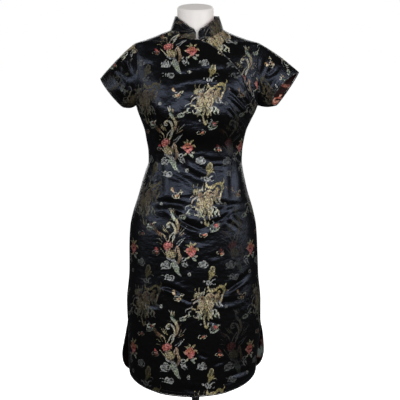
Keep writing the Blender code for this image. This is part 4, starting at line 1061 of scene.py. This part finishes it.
class Nodes:
    """A material or a world, with short calls that add a node and give one of its outputs."""

    def __init__(self, name, owners=bpy.data.materials):
        self.owner = owners.new(name)
        self.owner.use_nodes = True
        self.tree = self.owner.node_tree

    def put(self, socket, value):
        if isinstance(value, bpy.types.NodeSocket):
            self.tree.links.new(value, socket)
        elif value is not None:
            socket.default_value = value

    def node(self, kind, output, inputs=(), **settings):
        node = self.tree.nodes.new("ShaderNode" + kind)
        for name, value in settings.items():
            setattr(node, name, value)
        for key, value in inputs.items() if isinstance(inputs, dict) else enumerate(inputs):
            self.put(node.inputs[key], value)
        return node.outputs[output]

    def attribute(self, name, output="Fac"):
        return self.node("Attribute", output, attribute_name=name)

    def math(self, operation, *values, clamp=False):
        return self.node("Math", 0, values, operation=operation, use_clamp=clamp)

    add = partialmethod(math, "ADD")
    subtract = partialmethod(math, "SUBTRACT")
    multiply = partialmethod(math, "MULTIPLY")
    larger = partialmethod(math, "MAXIMUM")
    modulo = partialmethod(math, "FLOORED_MODULO")

    def sine(self, value, wavelength):
        return self.math("SINE", self.multiply(value, 2 * math.pi / wavelength))

    def smooth(self, value, low, high):
        """0 below low, 1 above high, and smooth between them."""
        values = (value, low, high, 0.0, 1.0)
        return self.node("MapRange", 0, values, interpolation_type="SMOOTHSTEP")

    def mix(self, factor, first, second):
        return self.node("Mix", 2, {0: factor, 6: first, 7: second}, data_type="RGBA")

    def scaled(self, vector, scale):
        return self.node("Mapping", 0, {"Vector": vector, "Scale": scale})

    def noise(self, vector, scale, detail=2.0):
        return self.node("TexNoise", "Fac", {"Vector": vector, "Scale": scale, "Detail": detail})

    def wave(self, vector, direction, scale, distortion):
        inputs = {"Vector": vector, "Scale": scale, "Distortion": distortion}
        return self.node("TexWave", "Fac", inputs, wave_type="BANDS", bands_direction=direction)

    def bump(self, height, strength, distance, normal=None):
        inputs = {"Strength": strength, "Distance": distance, "Height": height, "Normal": normal}
        return self.node("Bump", 0, inputs)

    def line(self, distance, place, half_width):
        """1 on a line at this distance from an edge or seam, fading to 0 beside it."""
        off = self.math("ABSOLUTE", self.subtract(distance, place))
        return self.subtract(1.0, self.smooth(off, half_width * LINE_CORE, half_width))

    def finish(self, node="Principled BSDF", **values):
        """Sets a node's inputs, and gives the material or the world."""
        for name, value in values.items():
            self.put(self.tree.nodes[node].inputs[name.replace("_", " ")], value)
        return self.owner


def brocade_material():
    """Black satin ground with floats of colour, whose strands, threads and edges are uneven."""
    n = Nodes("brocade")
    flat = n.attribute("flat", "Vector")
    # frayed outlines, in millimetres
    fray = n.multiply(n.subtract(n.noise(flat, scale=420.0, detail=3.0), 0.5), 2.6)
    deep = n.add(n.attribute("deep"), fray)
    # gaps between the rows of floats, and faint ones between single threads
    phase = n.attribute("phase")
    rows, threads = n.sine(phase, FLOAT_ROW), n.sine(phase, FLOAT_THREAD)
    gaps = n.multiply(n.smooth(rows, 0.25, 0.75), n.attribute("strand"))
    gaps = n.add(gaps, n.multiply(n.smooth(threads, 0.3, 0.9), 0.35), clamp=True)
    floats = n.multiply(n.smooth(deep, -0.1, 0.5), n.subtract(1.0, n.multiply(gaps, 0.85)))
    # lighter and darker floats on a nearly black ground
    lumps = n.noise(n.scaled(flat, (1.0, 0.55, 1.0)), scale=330.0)
    shade = n.add(0.42, n.multiply(n.smooth(lumps, 0.34, 0.66), 1.10))
    # the floats' colour also carries the painted shade of the darker columns
    dye = {0: n.attribute("dye", "Vector"), "Scale": shade}
    dye = n.node("VectorMath", 0, dye, operation="SCALE")
    dark, light = (0.0024, 0.0024, 0.0024, 1), (0.0046, 0.0044, 0.0042, 1)
    colour = n.mix(floats, n.mix(n.noise(flat, scale=60.0), dark, light), dye)
    # stitching, the binding's edge and the darts' seams
    edge = n.attribute("edge")
    stitch, binding = n.line(edge, *STITCH_LINE), n.line(edge, *BINDING_LINE)
    seam = n.line(n.attribute("seam"), *SEAM_LINE)
    lines = n.larger(binding, n.multiply(stitch, 0.6))
    colour = n.mix(n.multiply(lines, 0.25), colour, (0.06, 0.065, 0.07, 1))
    colour = n.mix(n.multiply(seam, 0.6), colour, (0.002, 0.002, 0.003, 1))
    # the weave, fine crinkles, raised floats and sunken seams
    warp = n.wave(flat, "X", WARP_SCALE, distortion=0.6)
    weft = n.wave(flat, "Y", WEFT_SCALE, distortion=0.4)
    weave = n.add(n.multiply(warp, 0.6), n.multiply(weft, 0.4))
    crinkle = n.noise(n.scaled(flat, (60.0, 105.0, 1.0)), scale=1.0, detail=3.0)
    trough = n.subtract(1.0, n.larger(n.larger(stitch, binding), seam))
    normal = n.bump(crinkle, strength=0.35, distance=0.003)
    normal = n.bump(floats, strength=0.35, distance=0.0004, normal=normal)
    normal = n.bump(trough, strength=0.7, distance=0.0010, normal=normal)
    normal = n.bump(weave, strength=0.15, distance=0.0003, normal=normal)
    return n.finish(
        Base_Color=colour, Roughness=n.add(0.27, n.multiply(floats, 0.24)), Normal=normal,
        Metallic=n.multiply(floats, 0.3), Anisotropic=0.7,
        Specular_IOR_Level=0.22, Specular_Tint=(0.62, 0.72, 1.0, 1),
        Sheen_Weight=0.02, Sheen_Roughness=0.45, Sheen_Tint=(0.55, 0.60, 0.80, 1),
    )


def reverse_material():
    """The cloth's back: its ground is plain maroon, and the floats carry each weft's own colour."""
    n = Nodes("brocade_reverse")
    flat = n.attribute("flat", "Vector")
    deep = n.add(n.attribute("deep"), n.multiply(n.noise(flat, scale=500.0), 2.0))
    across, up = (n.node("SeparateXYZ", axis, [flat]) for axis in "XY")
    # a band of mint wefts is carried across the back, beyond the motifs too
    mint = n.line(n.modulo(up, REPEAT), *MINT_WEFT)
    carried = n.multiply(mint, n.smooth(deep, -4.8, -3.8))
    floats = n.larger(n.smooth(deep, -0.4, 1.0), carried)
    floats = n.multiply(floats, n.line(n.modulo(across, 2 * REPEAT_WIDTH), *BRIGHT_REPEAT))
    patches = n.smooth(n.noise(flat, scale=90.0), 0.4, 0.6)
    bright = n.mix(patches, (0.62, 0.12, 0.08, 1), (0.94, 0.52, 0.38, 1))
    bright = n.mix(mint, bright, (0.85, 0.97, 0.88, 1))
    threads = n.wave(flat, "Y", WARP_SCALE, distortion=0.5)
    ground = n.mix(threads, (0.014, 0.003, 0.003, 1), (0.030, 0.006, 0.005, 1))
    return n.finish(
        Base_Color=n.mix(floats, ground, bright), Roughness=0.62, Specular_IOR_Level=0.35,
        Normal=n.bump(threads, strength=0.3, distance=0.0004),
    )


def piping_material():
    """Twisted dark cord, with painted shade in the grooves of its twist and painted highlights here
    and there along its length.
    """
    n = Nodes("piping")
    along = n.attribute("along")
    twist = n.sine(along, PIPING_TWIST)
    # painted shade: the cord is darker in the twist's grooves and lighter on its ridges
    colour = n.mix(n.smooth(twist, 0.2, 0.9), (0.006, 0.007, 0.009, 1), (0.022, 0.024, 0.030, 1))
    # painted highlights: pale dashes on the twist's ridges at intervals along the cord
    painted_highlight = n.smooth(n.sine(along, PIPING_PAINTED_HIGHLIGHT), 0.35, 0.75)
    painted_highlight = n.multiply(painted_highlight, n.smooth(twist, -0.4, 0.6))
    colour = n.mix(n.multiply(painted_highlight, 0.8), colour, (0.30, 0.31, 0.30, 1))
    return n.finish(
        Base_Color=colour, Roughness=0.40, Specular_IOR_Level=0.40,
        Normal=n.bump(twist, strength=0.5, distance=0.0005),
        Sheen_Weight=0.05, Sheen_Roughness=0.4,
    )


def plain_material(name, tones, roughness, grain, **looks):
    """A hard surface with a little unevenness. tones are a noise's scale and detail and the two
    colours that it mixes, and grain is a finer noise's scale, strength and depth."""
    n = Nodes(name)
    place = n.node("TexCoord", "Object")
    tone = n.noise(place, *tones[:2])
    return n.finish(
        Base_Color=n.mix(tone, *tones[2:]), Normal=n.bump(n.noise(place, grain[0]), *grain[1:]),
        Roughness=n.add(roughness[0], n.multiply(tone, roughness[1])), **looks,
    )


# -------- meshes


def add_object(name, data):
    obj = bpy.data.objects.new(name, data)
    bpy.context.scene.collection.objects.link(obj)
    return obj


def add_mesh(name, points, faces, materials, fields, reverse=()):
    """A smooth object of the points that its faces use. The cloth's reverse has its own faces,
    in the second material."""
    slots = [0] * len(faces) + [1] * len(reverse)
    faces = [*faces, *reverse]
    used, order = np.unique(np.concatenate(faces), return_inverse=True)
    remap = iter(order.tolist())
    mesh = bpy.data.meshes.new(name)
    mesh.from_pydata(points[used].tolist(), [], [[next(remap) for _ in face] for face in faces])
    for material in materials:
        mesh.materials.append(material)
    mesh.polygons.foreach_set("material_index", np.array(slots, np.int32))
    for key, value in fields.items():
        kind, slot = ("FLOAT", "value") if value.ndim == 1 else ("FLOAT_VECTOR", "vector")
        data = mesh.attributes.new(key, kind, "POINT").data
        data.foreach_set(slot, value[used].astype(np.float32).ravel())
    mesh.shade_smooth()
    mesh.set_sharp_from_angle(angle=SMOOTH_ANGLE)
    return add_object(name, mesh)


def quads(index):
    """The four-sided faces of a grid of point numbers."""
    corners = index[:-1, :-1], index[:-1, 1:], index[1:, 1:], index[1:, :-1]
    return np.stack(corners, axis=-1).reshape(-1, 4).tolist()


def ringed(name, rings, material, fields, capped=True):
    """A mesh through rings of equally many points, with a cap at both ends unless they meet."""
    index = np.arange(len(rings) * len(rings[0])).reshape(len(rings), -1)
    faces = quads(np.hstack([index, index[:, :1]]))
    if capped:
        faces += [index[0, ::-1].tolist(), index[-1].tolist()]
    return add_mesh(name, np.concatenate(rings), faces, [material], fields)


def wall(middle, coarse, normals, closed=False):
    """A cloth wall's points, its grids of point numbers outside and inside, and the faces along
    its edges. The inside follows the coarse grid, which has every second point each way."""
    half = normals * WALL / 2
    inner = coarse - half[::2, ::2]
    points = np.concatenate([(middle + half).reshape(-1, 3), inner.reshape(-1, 3)])
    out = np.arange(middle[..., 0].size).reshape(middle.shape[:2])
    ins = out.size + np.arange(inner[..., 0].size).reshape(inner.shape[:2])
    if closed:
        out, ins = (np.hstack([grid, grid[:, :1]]) for grid in (out, ins))
    borders = [(out[0, ::-1], ins[0, ::-1]), (out[-1], ins[-1])]
    if not closed:
        borders += [(out[:, 0], ins[:, 0]), (out[::-1, -1], ins[::-1, -1])]
    rims = [
        [*fine[2 * k : 2 * k + 3].tolist(), int(other[k + 1]), int(other[k])]
        for fine, other in borders
        for k in range(len(other) - 1)
    ]
    return points, out, ins[::-1], rims


def shell(name, middle, normals, fields, cloth, closed=False):
    points, out, ins, rims = wall(middle, middle[::2, ::2], normals, closed)
    return add_mesh(name, points, quads(out) + rims, cloth, fields, quads(ins))


# -------- the front, its flap and the back


def panel_surface(is_back):
    """The middle surface and normals of the front or the back."""
    angles, levels = panel_grid(is_back)
    middle = folded_point(angles, levels)
    normals = grid_normals(middle, middle * (0, 0, 1))
    sides = [0, -1]
    normals[:, sides] = normal_from(smooth_point, angles[:, sides], levels[:, sides])
    middle[:, sides, 1] += EDGE_CLEARANCE / 2 * (1 if is_back else -1)
    return middle, normals


def edge_distance(middle):
    """How far each point of a panel lies from the hem and the slits' edges."""
    run = run_along(middle, 1)
    from_side = np.minimum(run, run[:, -1:] - run)
    above = np.clip(middle[..., 2] - SLIT_TOP, 0, None)
    return np.minimum(run_along(middle, 0), np.hypot(from_side, above))


def placket_line():
    """(x, z) points of the opening, evenly spread along the table's smooth curve."""
    lengths = run_along(np.stack([PLACKET["x"], PLACKET["z"]], axis=-1))
    at = np.linspace(0, lengths[-1], PLACKET_POINTS)
    return np.stack([smooth_curve(lengths, PLACKET[axis], at) for axis in "xz"], axis=-1)


def placket_distance(x, z):
    """How far (x, z) lies past the opening, towards the wearer's left, and the nearest point."""
    line = placket_line()
    distance, step, share = nearest_on(line, x, z)
    run, rise = np.moveaxis(np.diff(line, axis=0)[step], -1, 0)
    near_x, near_z = line[step, 0] + share * run, line[step, 1] + share * rise
    beyond = (z - near_z) * run > (x - near_x) * rise
    return np.where(beyond, distance, -distance), near_x, near_z


def split_faces(index, past):
    """The quads of a grid on either side of a line: kept, and past it. A point on the line has
    past 0. A quad with the line through it becomes two triangles."""
    kept, beyond = [], []
    for quad in quads(index):
        a, b, c, d = quad
        signs = [past[i] for i in quad]
        if max(signs) <= 0:
            kept.append(quad)
        elif min(signs) >= 0:
            beyond.append(quad)
        else:
            on_line = signs[0] == 0 and signs[2] == 0
            for triangle in ([a, b, c], [a, c, d]) if on_line else ([b, c, d], [b, d, a]):
                (beyond if max(past[i] for i in triangle) > 0 else kept).append(triangle)
    return kept, beyond


def cut_line(faces, on_line, keys):
    """The points along a piece's cut edge in order, and whether its faces run the same way."""
    edges = {(face[k - 1], face[k]) for face in faces for k in range(len(face))}
    edges = [(a, b) for a, b in edges if on_line[a] and on_line[b] and (b, a) not in edges]
    points = sorted({i for edge in edges for i in edge}, key=lambda i: keys[i])
    return points, 2 * sum(keys[b] > keys[a] for a, b in edges) > len(edges)


def bridge(fine, coarse, points):
    """Triangles between two lines of points that run side by side."""
    faces = []
    i = j = 0
    while i < len(fine) - 1 or j < len(coarse) - 1:
        step_fine = j == len(coarse) - 1
        if i < len(fine) - 1 and not step_fine:
            to_fine = np.linalg.norm(points[fine[i + 1]] - points[coarse[j]])
            step_fine = to_fine < np.linalg.norm(points[fine[i]] - points[coarse[j + 1]])
        if step_fine:
            faces.append([fine[i], fine[i + 1], coarse[j]])
            i += 1
        else:
            faces.append([fine[i], coarse[j + 1], coarse[j]])
            j += 1
    return faces


def fronts(cloth):
    """The front and the flap that shows past its opening, cut apart along the opening."""
    middle, normals = panel_surface(False)
    past, near_x, near_z = placket_distance(middle[..., 0], middle[..., 2])
    past = np.where(middle[..., 2] < UNDERARM_Z - PLACKET_BELOW_UNDERARM, -1.0, past)
    steps = [np.linalg.norm(np.gradient(middle, axis=axis), axis=-1) for axis in (0, 1)]
    snap = PLACKET_SNAP * np.maximum(*steps)
    grids, signs = [], []
    for stride in (1, 2):
        part = (slice(None, None, stride),) * 2
        on_line = np.abs(past[part]) < snap[part] * stride
        x, z = near_x[part][on_line], near_z[part][on_line]
        grids.append(middle[part].copy())
        grids[-1][on_line] = folded_point(angle_at(x, z), z)
        signs.append(np.where(on_line, 0.0, past[part]).ravel())
    points, out, ins, rims = wall(*grids, normals)
    signs = np.concatenate(signs)
    along = points[:, 0] - points[:, 2]
    u, v = panel_flat(middle, False)
    edge, seam = edge_distance(middle), dart_distance(middle)
    fields = {
        "dress_front": cloth_fields(u, v, edge, seam),
        "dress_flap": cloth_fields(u + FLAP_SHIFT[0], v + FLAP_SHIFT[1], edge, seam, FLAP_PAINTED_SHADE_FLOOR),
    }
    borders = [], []
    for face in rims:
        borders[int(np.mean(signs[face]) > 0)].append(face)
    parts = zip(fields, split_faces(out, signs), split_faces(ins, signs), borders)
    pieces = []
    for name, outside, inside, border in parts:
        fine, forward = cut_line(outside, signs == 0, along)
        coarse, _ = cut_line(inside, signs == 0, along)
        joint = bridge(fine, coarse, points)
        border += [face[::-1] for face in joint] if forward else joint
        pieces.append(add_mesh(name, points, outside + border, cloth, fields[name], inside))
    return pieces, middle, normals


def back_panel(cloth):
    middle, normals = panel_surface(True)
    fields = cloth_fields(*panel_flat(middle, True), edge_distance(middle))
    return shell("dress_back", middle, normals, fields, cloth), middle, normals


# -------- sleeves and collar


def sleeve(name, shape, cloth):
    """A short sleeve, from the armhole, up its front edge and down its back one, to the cuff."""
    levels, angles = armhole()
    angles = shape["side"] * np.concatenate([angles, math.pi - angles[-2:0:-1]])
    seam = folded_point(angles, np.concatenate([levels, levels[-2:0:-1]]))
    loop = np.vstack([seam, seam[:1]])
    up, down = run_along(loop[: ARM_ROWS + 1]), run_along(loop[ARM_ROWS:])
    turns = np.pi * np.concatenate([1 - up / up[-1], -(down / down[-1])[1:-1]])
    corner_top, corner_bottom = np.array(shape["top"]), np.array(shape["bottom"])
    centre, rise = (corner_top + corner_bottom) / 2, (corner_top - corner_bottom) / 2
    sine = np.sin(turns)[:, None]
    sideways = np.abs(sine) ** CUFF_POINTEDNESS * np.where(sine >= 0, shape["front"], shape["back"])
    cuff = centre + np.cos(turns)[:, None] * rise + sideways
    halfway = (seam + cuff) / 2
    outward = unit(halfway - halfway.mean(axis=0)) * SLEEVE_FULLNESS
    share = np.linspace(0, 1, SLEEVE_ROWS + 1)[:, None, None]
    grid = seam * (1 - share) + cuff * share + outward * 4 * share * (1 - share)
    normals = grid_normals(grid, grid.mean(axis=1, keepdims=True), True)
    x, y, z = np.moveaxis(grid, -1, 0)
    offset = fold_offset(x, z, name) + ripple(x + y, z)
    fade = np.sin(np.pi * np.clip(share[..., 0], 0.0, SLEEVE_FOLD_END)) ** SLEEVE_FOLD_FADE
    grid = grid + normals * (offset * fade)[..., None]
    normals = grid_normals(grid, grid.mean(axis=1, keepdims=True), True)
    from_arm, around = run_along(grid), run_along(grid[0])
    u = shape["side"] * (around - around[ARM_ROWS]) + shape["pattern"][0] + np.zeros_like(from_arm)
    fields = cloth_fields(u, shape["pattern"][1] - from_arm, from_arm[-1] - from_arm)
    grid[0] += unit(grid[2] - grid[0]) * EDGE_CLEARANCE / 2
    return shell(f"dress_{name}", grid, normals, fields, cloth, True), grid, normals


def collar_rim(turns):
    """The collar's top edge, without its rounded corners."""
    is_front = np.cos(turns) >= 0
    side = np.abs(np.sin(turns)) ** COLLAR_RISE_POWER
    low_z = np.where(is_front, COLLAR_FRONT_Z, COLLAR_BACK_Z)
    depth = np.where(is_front, COLLAR_TOP_FRONT, COLLAR_TOP_BACK)
    x = NECK_X + COLLAR_TOP_HALF * signed_power(np.sin(turns), 2 / SECTION_POWER)
    y = -depth * signed_power(np.cos(turns), 2 / SECTION_POWER)
    return np.stack([x, y, low_z + (COLLAR_SIDE_Z - low_z) * side], axis=-1)


def collar(cloth):
    """The stand-up collar, open at the middle of the front, with rounded upper corners."""
    notch = math.asin((COLLAR_GAP / 2) / NECK_HALF)
    t = np.linspace(0, 1, COLLAR_COLUMNS + 1)
    crowded = t - COLLAR_CROWDING * np.sin(2 * np.pi * t) / (2 * np.pi)
    turns = notch + (2 * math.pi - 2 * notch) * crowded
    angles, levels = np.array([neckline(turn) for turn in turns]).T
    base = folded_point(angles, levels)
    rim = collar_rim(turns)
    from_notch = np.minimum(turns, 2 * math.pi - turns) - notch
    inset = np.clip(COLLAR_CORNER - from_notch * COLLAR_TOP_FRONT, 0, COLLAR_CORNER)
    rim[:, 2] -= COLLAR_CORNER - np.sqrt(COLLAR_CORNER**2 - inset**2)
    near = np.clip(1 - from_notch / COLLAR_UPRIGHT_REACH, 0, 1)
    rim[:, 0] += (base[:, 0] - rim[:, 0]) * near
    share = np.linspace(0, 1, COLLAR_ROWS + 1)[:, None, None]
    grid = base * (1 - share) + rim * share
    normals = grid_normals(grid, grid * (0, 0, 1) + (NECK_X, 0, 0))
    grid[0] += unit(grid[1] - grid[0]) * EDGE_CLEARANCE
    run = run_along(grid, 1)
    height, from_top = (np.linalg.norm(grid - grid[[row]], axis=-1) for row in (0, -1))
    edge = np.minimum(from_top, np.minimum(run, run[:, -1:] - run))
    fields = cloth_fields(run + COLLAR_PATTERN[0], height + COLLAR_PATTERN[1], edge)
    return shell("dress_collar", grid, normals, fields, cloth), grid, normals


# -------- piping


def tube(name, points, closed, material):
    """A round cord through the points, whose twist runs evenly along it."""
    if closed:
        along = unit(np.roll(points, -1, axis=0) - np.roll(points, 1, axis=0))
    else:
        along = unit(np.gradient(points, axis=0))
    side = np.cross(along[0], PIPING_START_SIDE)
    turns = 2 * np.pi * np.arange(TUBE_SIDES) / TUBE_SIDES
    rings = []
    for point, direction in zip(points, along):
        side = unit(side - direction * np.dot(side, direction))
        spokes = np.outer(np.cos(turns), side) + np.outer(np.sin(turns), np.cross(direction, side))
        rings.append(point + PIPING_RADIUS * spokes)
    if closed:
        # the last ring is turned to meet the first
        turned_by = [np.roll(rings[0], -k, axis=0) for k in range(TUBE_SIDES)]
        rings.append(min(turned_by, key=lambda ring: np.linalg.norm(ring - rings[-1])))
        points = np.vstack([points, points[:1]])
    slant = np.tile(turns / (2 * np.pi) * PIPING_TWIST, len(rings))
    fields = {"along": np.repeat(run_along(points) * 1000, TUBE_SIDES) + slant}
    return ringed(name, rings, material, fields, not closed)


def edge_piping(name, edge, normals, inside, material, closed=False):
    """Piping just off a wall's free edge. inside is a point of the wall near each edge point."""
    along = np.gradient(edge, axis=0)
    if closed:
        along = np.roll(edge, -1, axis=0) - np.roll(edge, 1, axis=0)
    away = unit(np.cross(normals, along))
    away *= np.sign(np.sum(away * (edge - inside), axis=-1, keepdims=True))
    return tube(name, edge + away * (PIPING_GAP + PIPING_RADIUS), closed, material)


def hem_piping(name, middle, normals, material):
    """Piping down one slit's edge, along the hem and up the other slit."""
    last = middle.shape[1] - 1
    high = int(np.flatnonzero(middle[:, 0, 2] < SLIT_TOP - SLIT_OPENING_LENGTH)[-1])
    down, up = range(high, 0, -2), range(1, high + 1, 2)
    rows = [*down, *[0] * (last // 2 + 1), *up]
    columns = [*[0] * len(down), *range(0, last + 1, 2), *[last] * len(up)]
    inside = middle[np.maximum(rows, HEM_INSET), np.clip(columns, HEM_INSET, last - HEM_INSET)]
    return edge_piping(name, middle[rows, columns], normals[rows, columns], inside, material)


def collar_piping(grid, normals, material):
    """Piping up one front corner of the collar, round its top and down the other corner."""
    top, last = COLLAR_ROWS, grid.shape[1] - 1
    rows = [*range(2, top), *[top] * (last + 1), *range(top - 1, 1, -1)]
    columns = [*[0] * (top - 2), *range(last + 1), *[last] * (top - 2)]
    inside_rows = np.clip(np.array(rows) - 2, 1, top - 2)
    inside = grid[inside_rows, np.clip(columns, COLLAR_INSET, last - COLLAR_INSET)]
    edge = grid[rows, columns]
    return edge_piping("collar_edge", edge, normals[rows, columns], inside, material)


def placket_piping(material):
    line = placket_line()
    known, at = np.linspace(0, 1, len(line)), np.linspace(0, 1, 3 * len(line))
    x, z = (np.interp(at, known, line[:, axis]) for axis in (0, 1))
    angle = angle_at(x, z)
    clear = (z < PLACKET_PIPING_TOP) & (angle < armhole_angle(z) - PLACKET_PIPING_END)
    out = normal_from(folded_point, angle, z) * (WALL / 2 + PIPING_RADIUS)
    return tube("placket_edge", (folded_point(angle, z) + out)[clear], False, material)


# -------- dress form and stand


def ring_at(turns, x, y, radius, z, slope=0.0):
    """A level ring of points about (x, y), or one that slopes up towards the back."""
    behind = -radius * np.cos(turns)
    return np.stack([x + radius * np.sin(turns), y + behind, z + slope * behind], axis=-1)


def form_torso(material):
    """The form under the dress's smooth surface, with soft arm ends, a round bottom and a neck."""
    turns = np.arange(TORSO_AROUND) * 2 * math.pi / TORSO_AROUND
    rings = []
    for z in np.linspace(FORM_BOTTOM + FORM_BOTTOM_ROUND, FORM_TOP_OF_SHOULDERS, TORSO_LEVELS):
        ring = smooth_point(turns, z) - normal_from(smooth_point, turns, z) * FORM_CLEARANCE
        over = np.clip(np.abs(ring[:, 0]) - (FORM_ARM_LIMIT - FORM_ARM_SOFTNESS), 0, None)
        squeezed = FORM_ARM_SOFTNESS * np.tanh(over / FORM_ARM_SOFTNESS)
        ring[:, 0] -= np.sign(ring[:, 0]) * (over - squeezed)
        rings.append(ring)
    lowest = rings[0]
    inward = unit(lowest.mean(axis=0) - lowest)
    for turn in QUARTER_TURN[1:]:
        ring = lowest + inward * FORM_BOTTOM_ROUND * (1 - math.cos(turn))
        ring[:, 2] = lowest[:, 2] - FORM_BOTTOM_ROUND * math.sin(turn)
        rings.insert(0, ring)
    centre = np.array([NECK_FORM_X, NECK_FORM_Y])
    for ring in rings:
        spokes = ring[:, :2] - centre
        reach = np.linalg.norm(spokes, axis=1, keepdims=True)
        ring[:, :2] = centre + spokes / reach * np.maximum(reach, NECK_FORM_RADIUS + NECK_FORM_FOOT)
    straight = np.linspace(NECK_FORM_BASE_Z, NECK_FORM_STRAIGHT_Z, NECK_FORM_RINGS)
    rings += [ring_at(turns, *centre, NECK_FORM_RADIUS, z) for z in straight]
    for turn in QUARTER_TURN:
        radius = NECK_FORM_RADIUS - NECK_FORM_RIM * (1 - math.cos(turn))
        z = NECK_FORM_TOP_Z - NECK_FORM_RIM * (1 - math.sin(turn))
        rings.append(ring_at(turns, *centre, radius, z, NECK_FORM_TOP_SLOPE))
    return ringed("form_shell", rings, material, {})


def turned(name, profile, foot, material):
    """A finely turned solid about the pole's axis, its profile's corners slightly rounded."""
    turns = np.arange(TURNED_STEPS) * 2 * math.pi / TURNED_STEPS
    corners = [(radius, z + foot) for radius, z in profile]
    rings = []
    for i, (radius, z) in enumerate(corners):
        radius = max(radius, TURNED_CENTRE)
        for blend in (-1, 1):
            other = corners[min(max(i + blend, 0), len(corners) - 1)]
            run, rise = other[0] - radius, other[1] - z
            length = math.hypot(run, rise)
            t = min(EDGE_ROUND / length, MOST_ROUNDED) if length > 0 else 0.0
            r, level = max(radius + run * t, TURNED_CENTRE), np.full_like(turns, z + rise * t)
            rings.append(np.stack([STAND_X + r * np.cos(turns), r * np.sin(turns), level], axis=-1))
    return ringed(name, rings, material, {})


def rod(radius, height):
    return ((0.0, 0.0), (radius, 0.0), (radius, height), (0.0, height))


def stand_parts():
    """The stand's pieces from the floor up: name, solid, profile and the level of its foot."""
    hub_foot = BASE_PROFILE[-1][1] + STAND_GAP
    flange_foot = FORM_BOTTOM - STAND_GAP - FLANGE_THICKNESS
    pole = rod(POLE_RADIUS, flange_foot - STAND_GAP - hub_foot)
    return (
        ("stand_base", "base", BASE_PROFILE, 0.0),
        ("stand_hub", "hub", (*HUB_PROFILE, HUB_PROFILE[0]), hub_foot),
        ("stand_flange", "flange", rod(FLANGE_RADIUS, FLANGE_THICKNESS), flange_foot),
        ("stand_pole", "pole", pole, hub_foot),
    )


# -------- the room


def area_light(name, place, target, size, power):
    data = bpy.data.lights.new(name, "AREA")
    data.shape = "RECTANGLE"
    data.size, data.size_y = size
    data.energy = power
    obj = add_object(name, data)
    obj.location = place
    direction = Vector(target) - Vector(place)
    obj.rotation_euler = direction.to_track_quat("-Z", "Y").to_euler()


def surround():
    """A surround that the camera sees white, and that lights the part only a little."""
    n = Nodes("studio", bpy.data.worlds)
    looks = [n.node("Background", 0, look) for look in (SURROUND_LIGHT, SURROUND_SEEN)]
    both = n.node("MixShader", 0, [n.node("LightPath", "Is Camera Ray"), *looks])
    bpy.context.scene.world = n.finish("World Output", Surface=both)


def room():
    """A pale floor, a white surround, and soft lights from above and in front."""
    surround()
    n = Nodes("floor")
    place = n.node("TexCoord", "Object")
    far = n.node("VectorMath", "Value", [place], operation="LENGTH")
    glow = n.multiply(n.smooth(far, *FLOOR_GLOW_FROM), 1.0 - FLOOR_GLOW)
    mesh = bpy.data.meshes.new("floor")
    corners = [(x * FLOOR_HALF, y * FLOOR_HALF, 0) for x, y in ((-1, -1), (1, -1), (1, 1), (-1, 1))]
    mesh.from_pydata(corners, [], [(0, 1, 2, 3)])
    mesh.materials.append(n.finish(
        Base_Color=(0.90, 0.90, 0.90, 1), Roughness=0.9, Specular_IOR_Level=0.1,
        Emission_Color=(1, 1, 1, 1), Emission_Strength=n.add(FLOOR_GLOW, glow),
    ))
    floor = add_object("floor", mesh)
    floor.location.z = -FLOOR_DROP
    floor.visible_diffuse = False
    floor.visible_glossy = False
    for light in LIGHTS:
        area_light(*light)


def camera():
    data = bpy.data.cameras.new("camera")
    data.lens, data.sensor_width = CAMERA_LENS, CAMERA_SENSOR
    obj = add_object("camera", data)
    obj.location = CAMERA_PLACE
    drop = math.atan2(CAMERA_PLACE[2] - CAMERA_AIM_Z, -CAMERA_PLACE[1])
    obj.rotation_euler = (math.pi / 2 - drop, 0.0, 0.0)
    bpy.context.scene.camera = obj


# -------- the whole part


def stand_in(piece, node):
    """Puts a piece in the place of the frame's solid, on the one body."""
    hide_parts(node)
    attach(piece, "root")
    return piece


def declare(piece):
    """Reads the flat places of a piece's points, and does nothing more with them."""
    flat = np.empty(len(piece.data.vertices) * 3, np.float32)
    piece.data.attributes["flat"].data.foreach_get("vector", flat)


def main():
    camera()
    cloth = [brocade_material(), reverse_material()]
    cord = piping_material()
    white, black = (plain_material(name, **look) for name, look in PLAIN_LOOKS.items())
    (front, flap), *front_panel = fronts(cloth)
    stand_in(front, "front")
    stand_in(flap, "front_flap")
    hem = hem_piping("front_hem_edge", *front_panel, cord)
    placket = placket_piping(cord)
    stand_in(hem, "hem_piping_front")
    stand_in(placket, "placket_piping")
    declare(front)
    declare(flap)
    back, *back_surface = back_panel(cloth)
    hem = hem_piping("back_hem_edge", *back_surface, cord)
    stand_in(back, "back")
    stand_in(hem, "hem_piping_back")
    declare(back)
    ring, *ring_surface = collar(cloth)
    rim = collar_piping(*ring_surface, cord)
    stand_in(ring, "collar")
    stand_in(rim, "collar_piping")
    declare(ring)
    for name, shape in SLEEVES.items():
        piece, grid, normals = sleeve(name, shape, cloth)
        edge = name.replace("sleeve", "cuff_edge")
        inside = grid[-1 - CUFF_INSET]
        cuff = edge_piping(edge, grid[-1], normals[-1], inside, cord, closed=True)
        stand_in(piece, name)
        stand_in(cuff, name.replace("sleeve", "cuff_piping"))
        declare(piece)
    stand_in(form_torso(white), "form_torso")
    for name, node, profile, foot in stand_parts():
        stand_in(turned(name, profile, foot, black), node)
    room()
    bpy.context.scene.view_settings.view_transform = "Standard"


main()
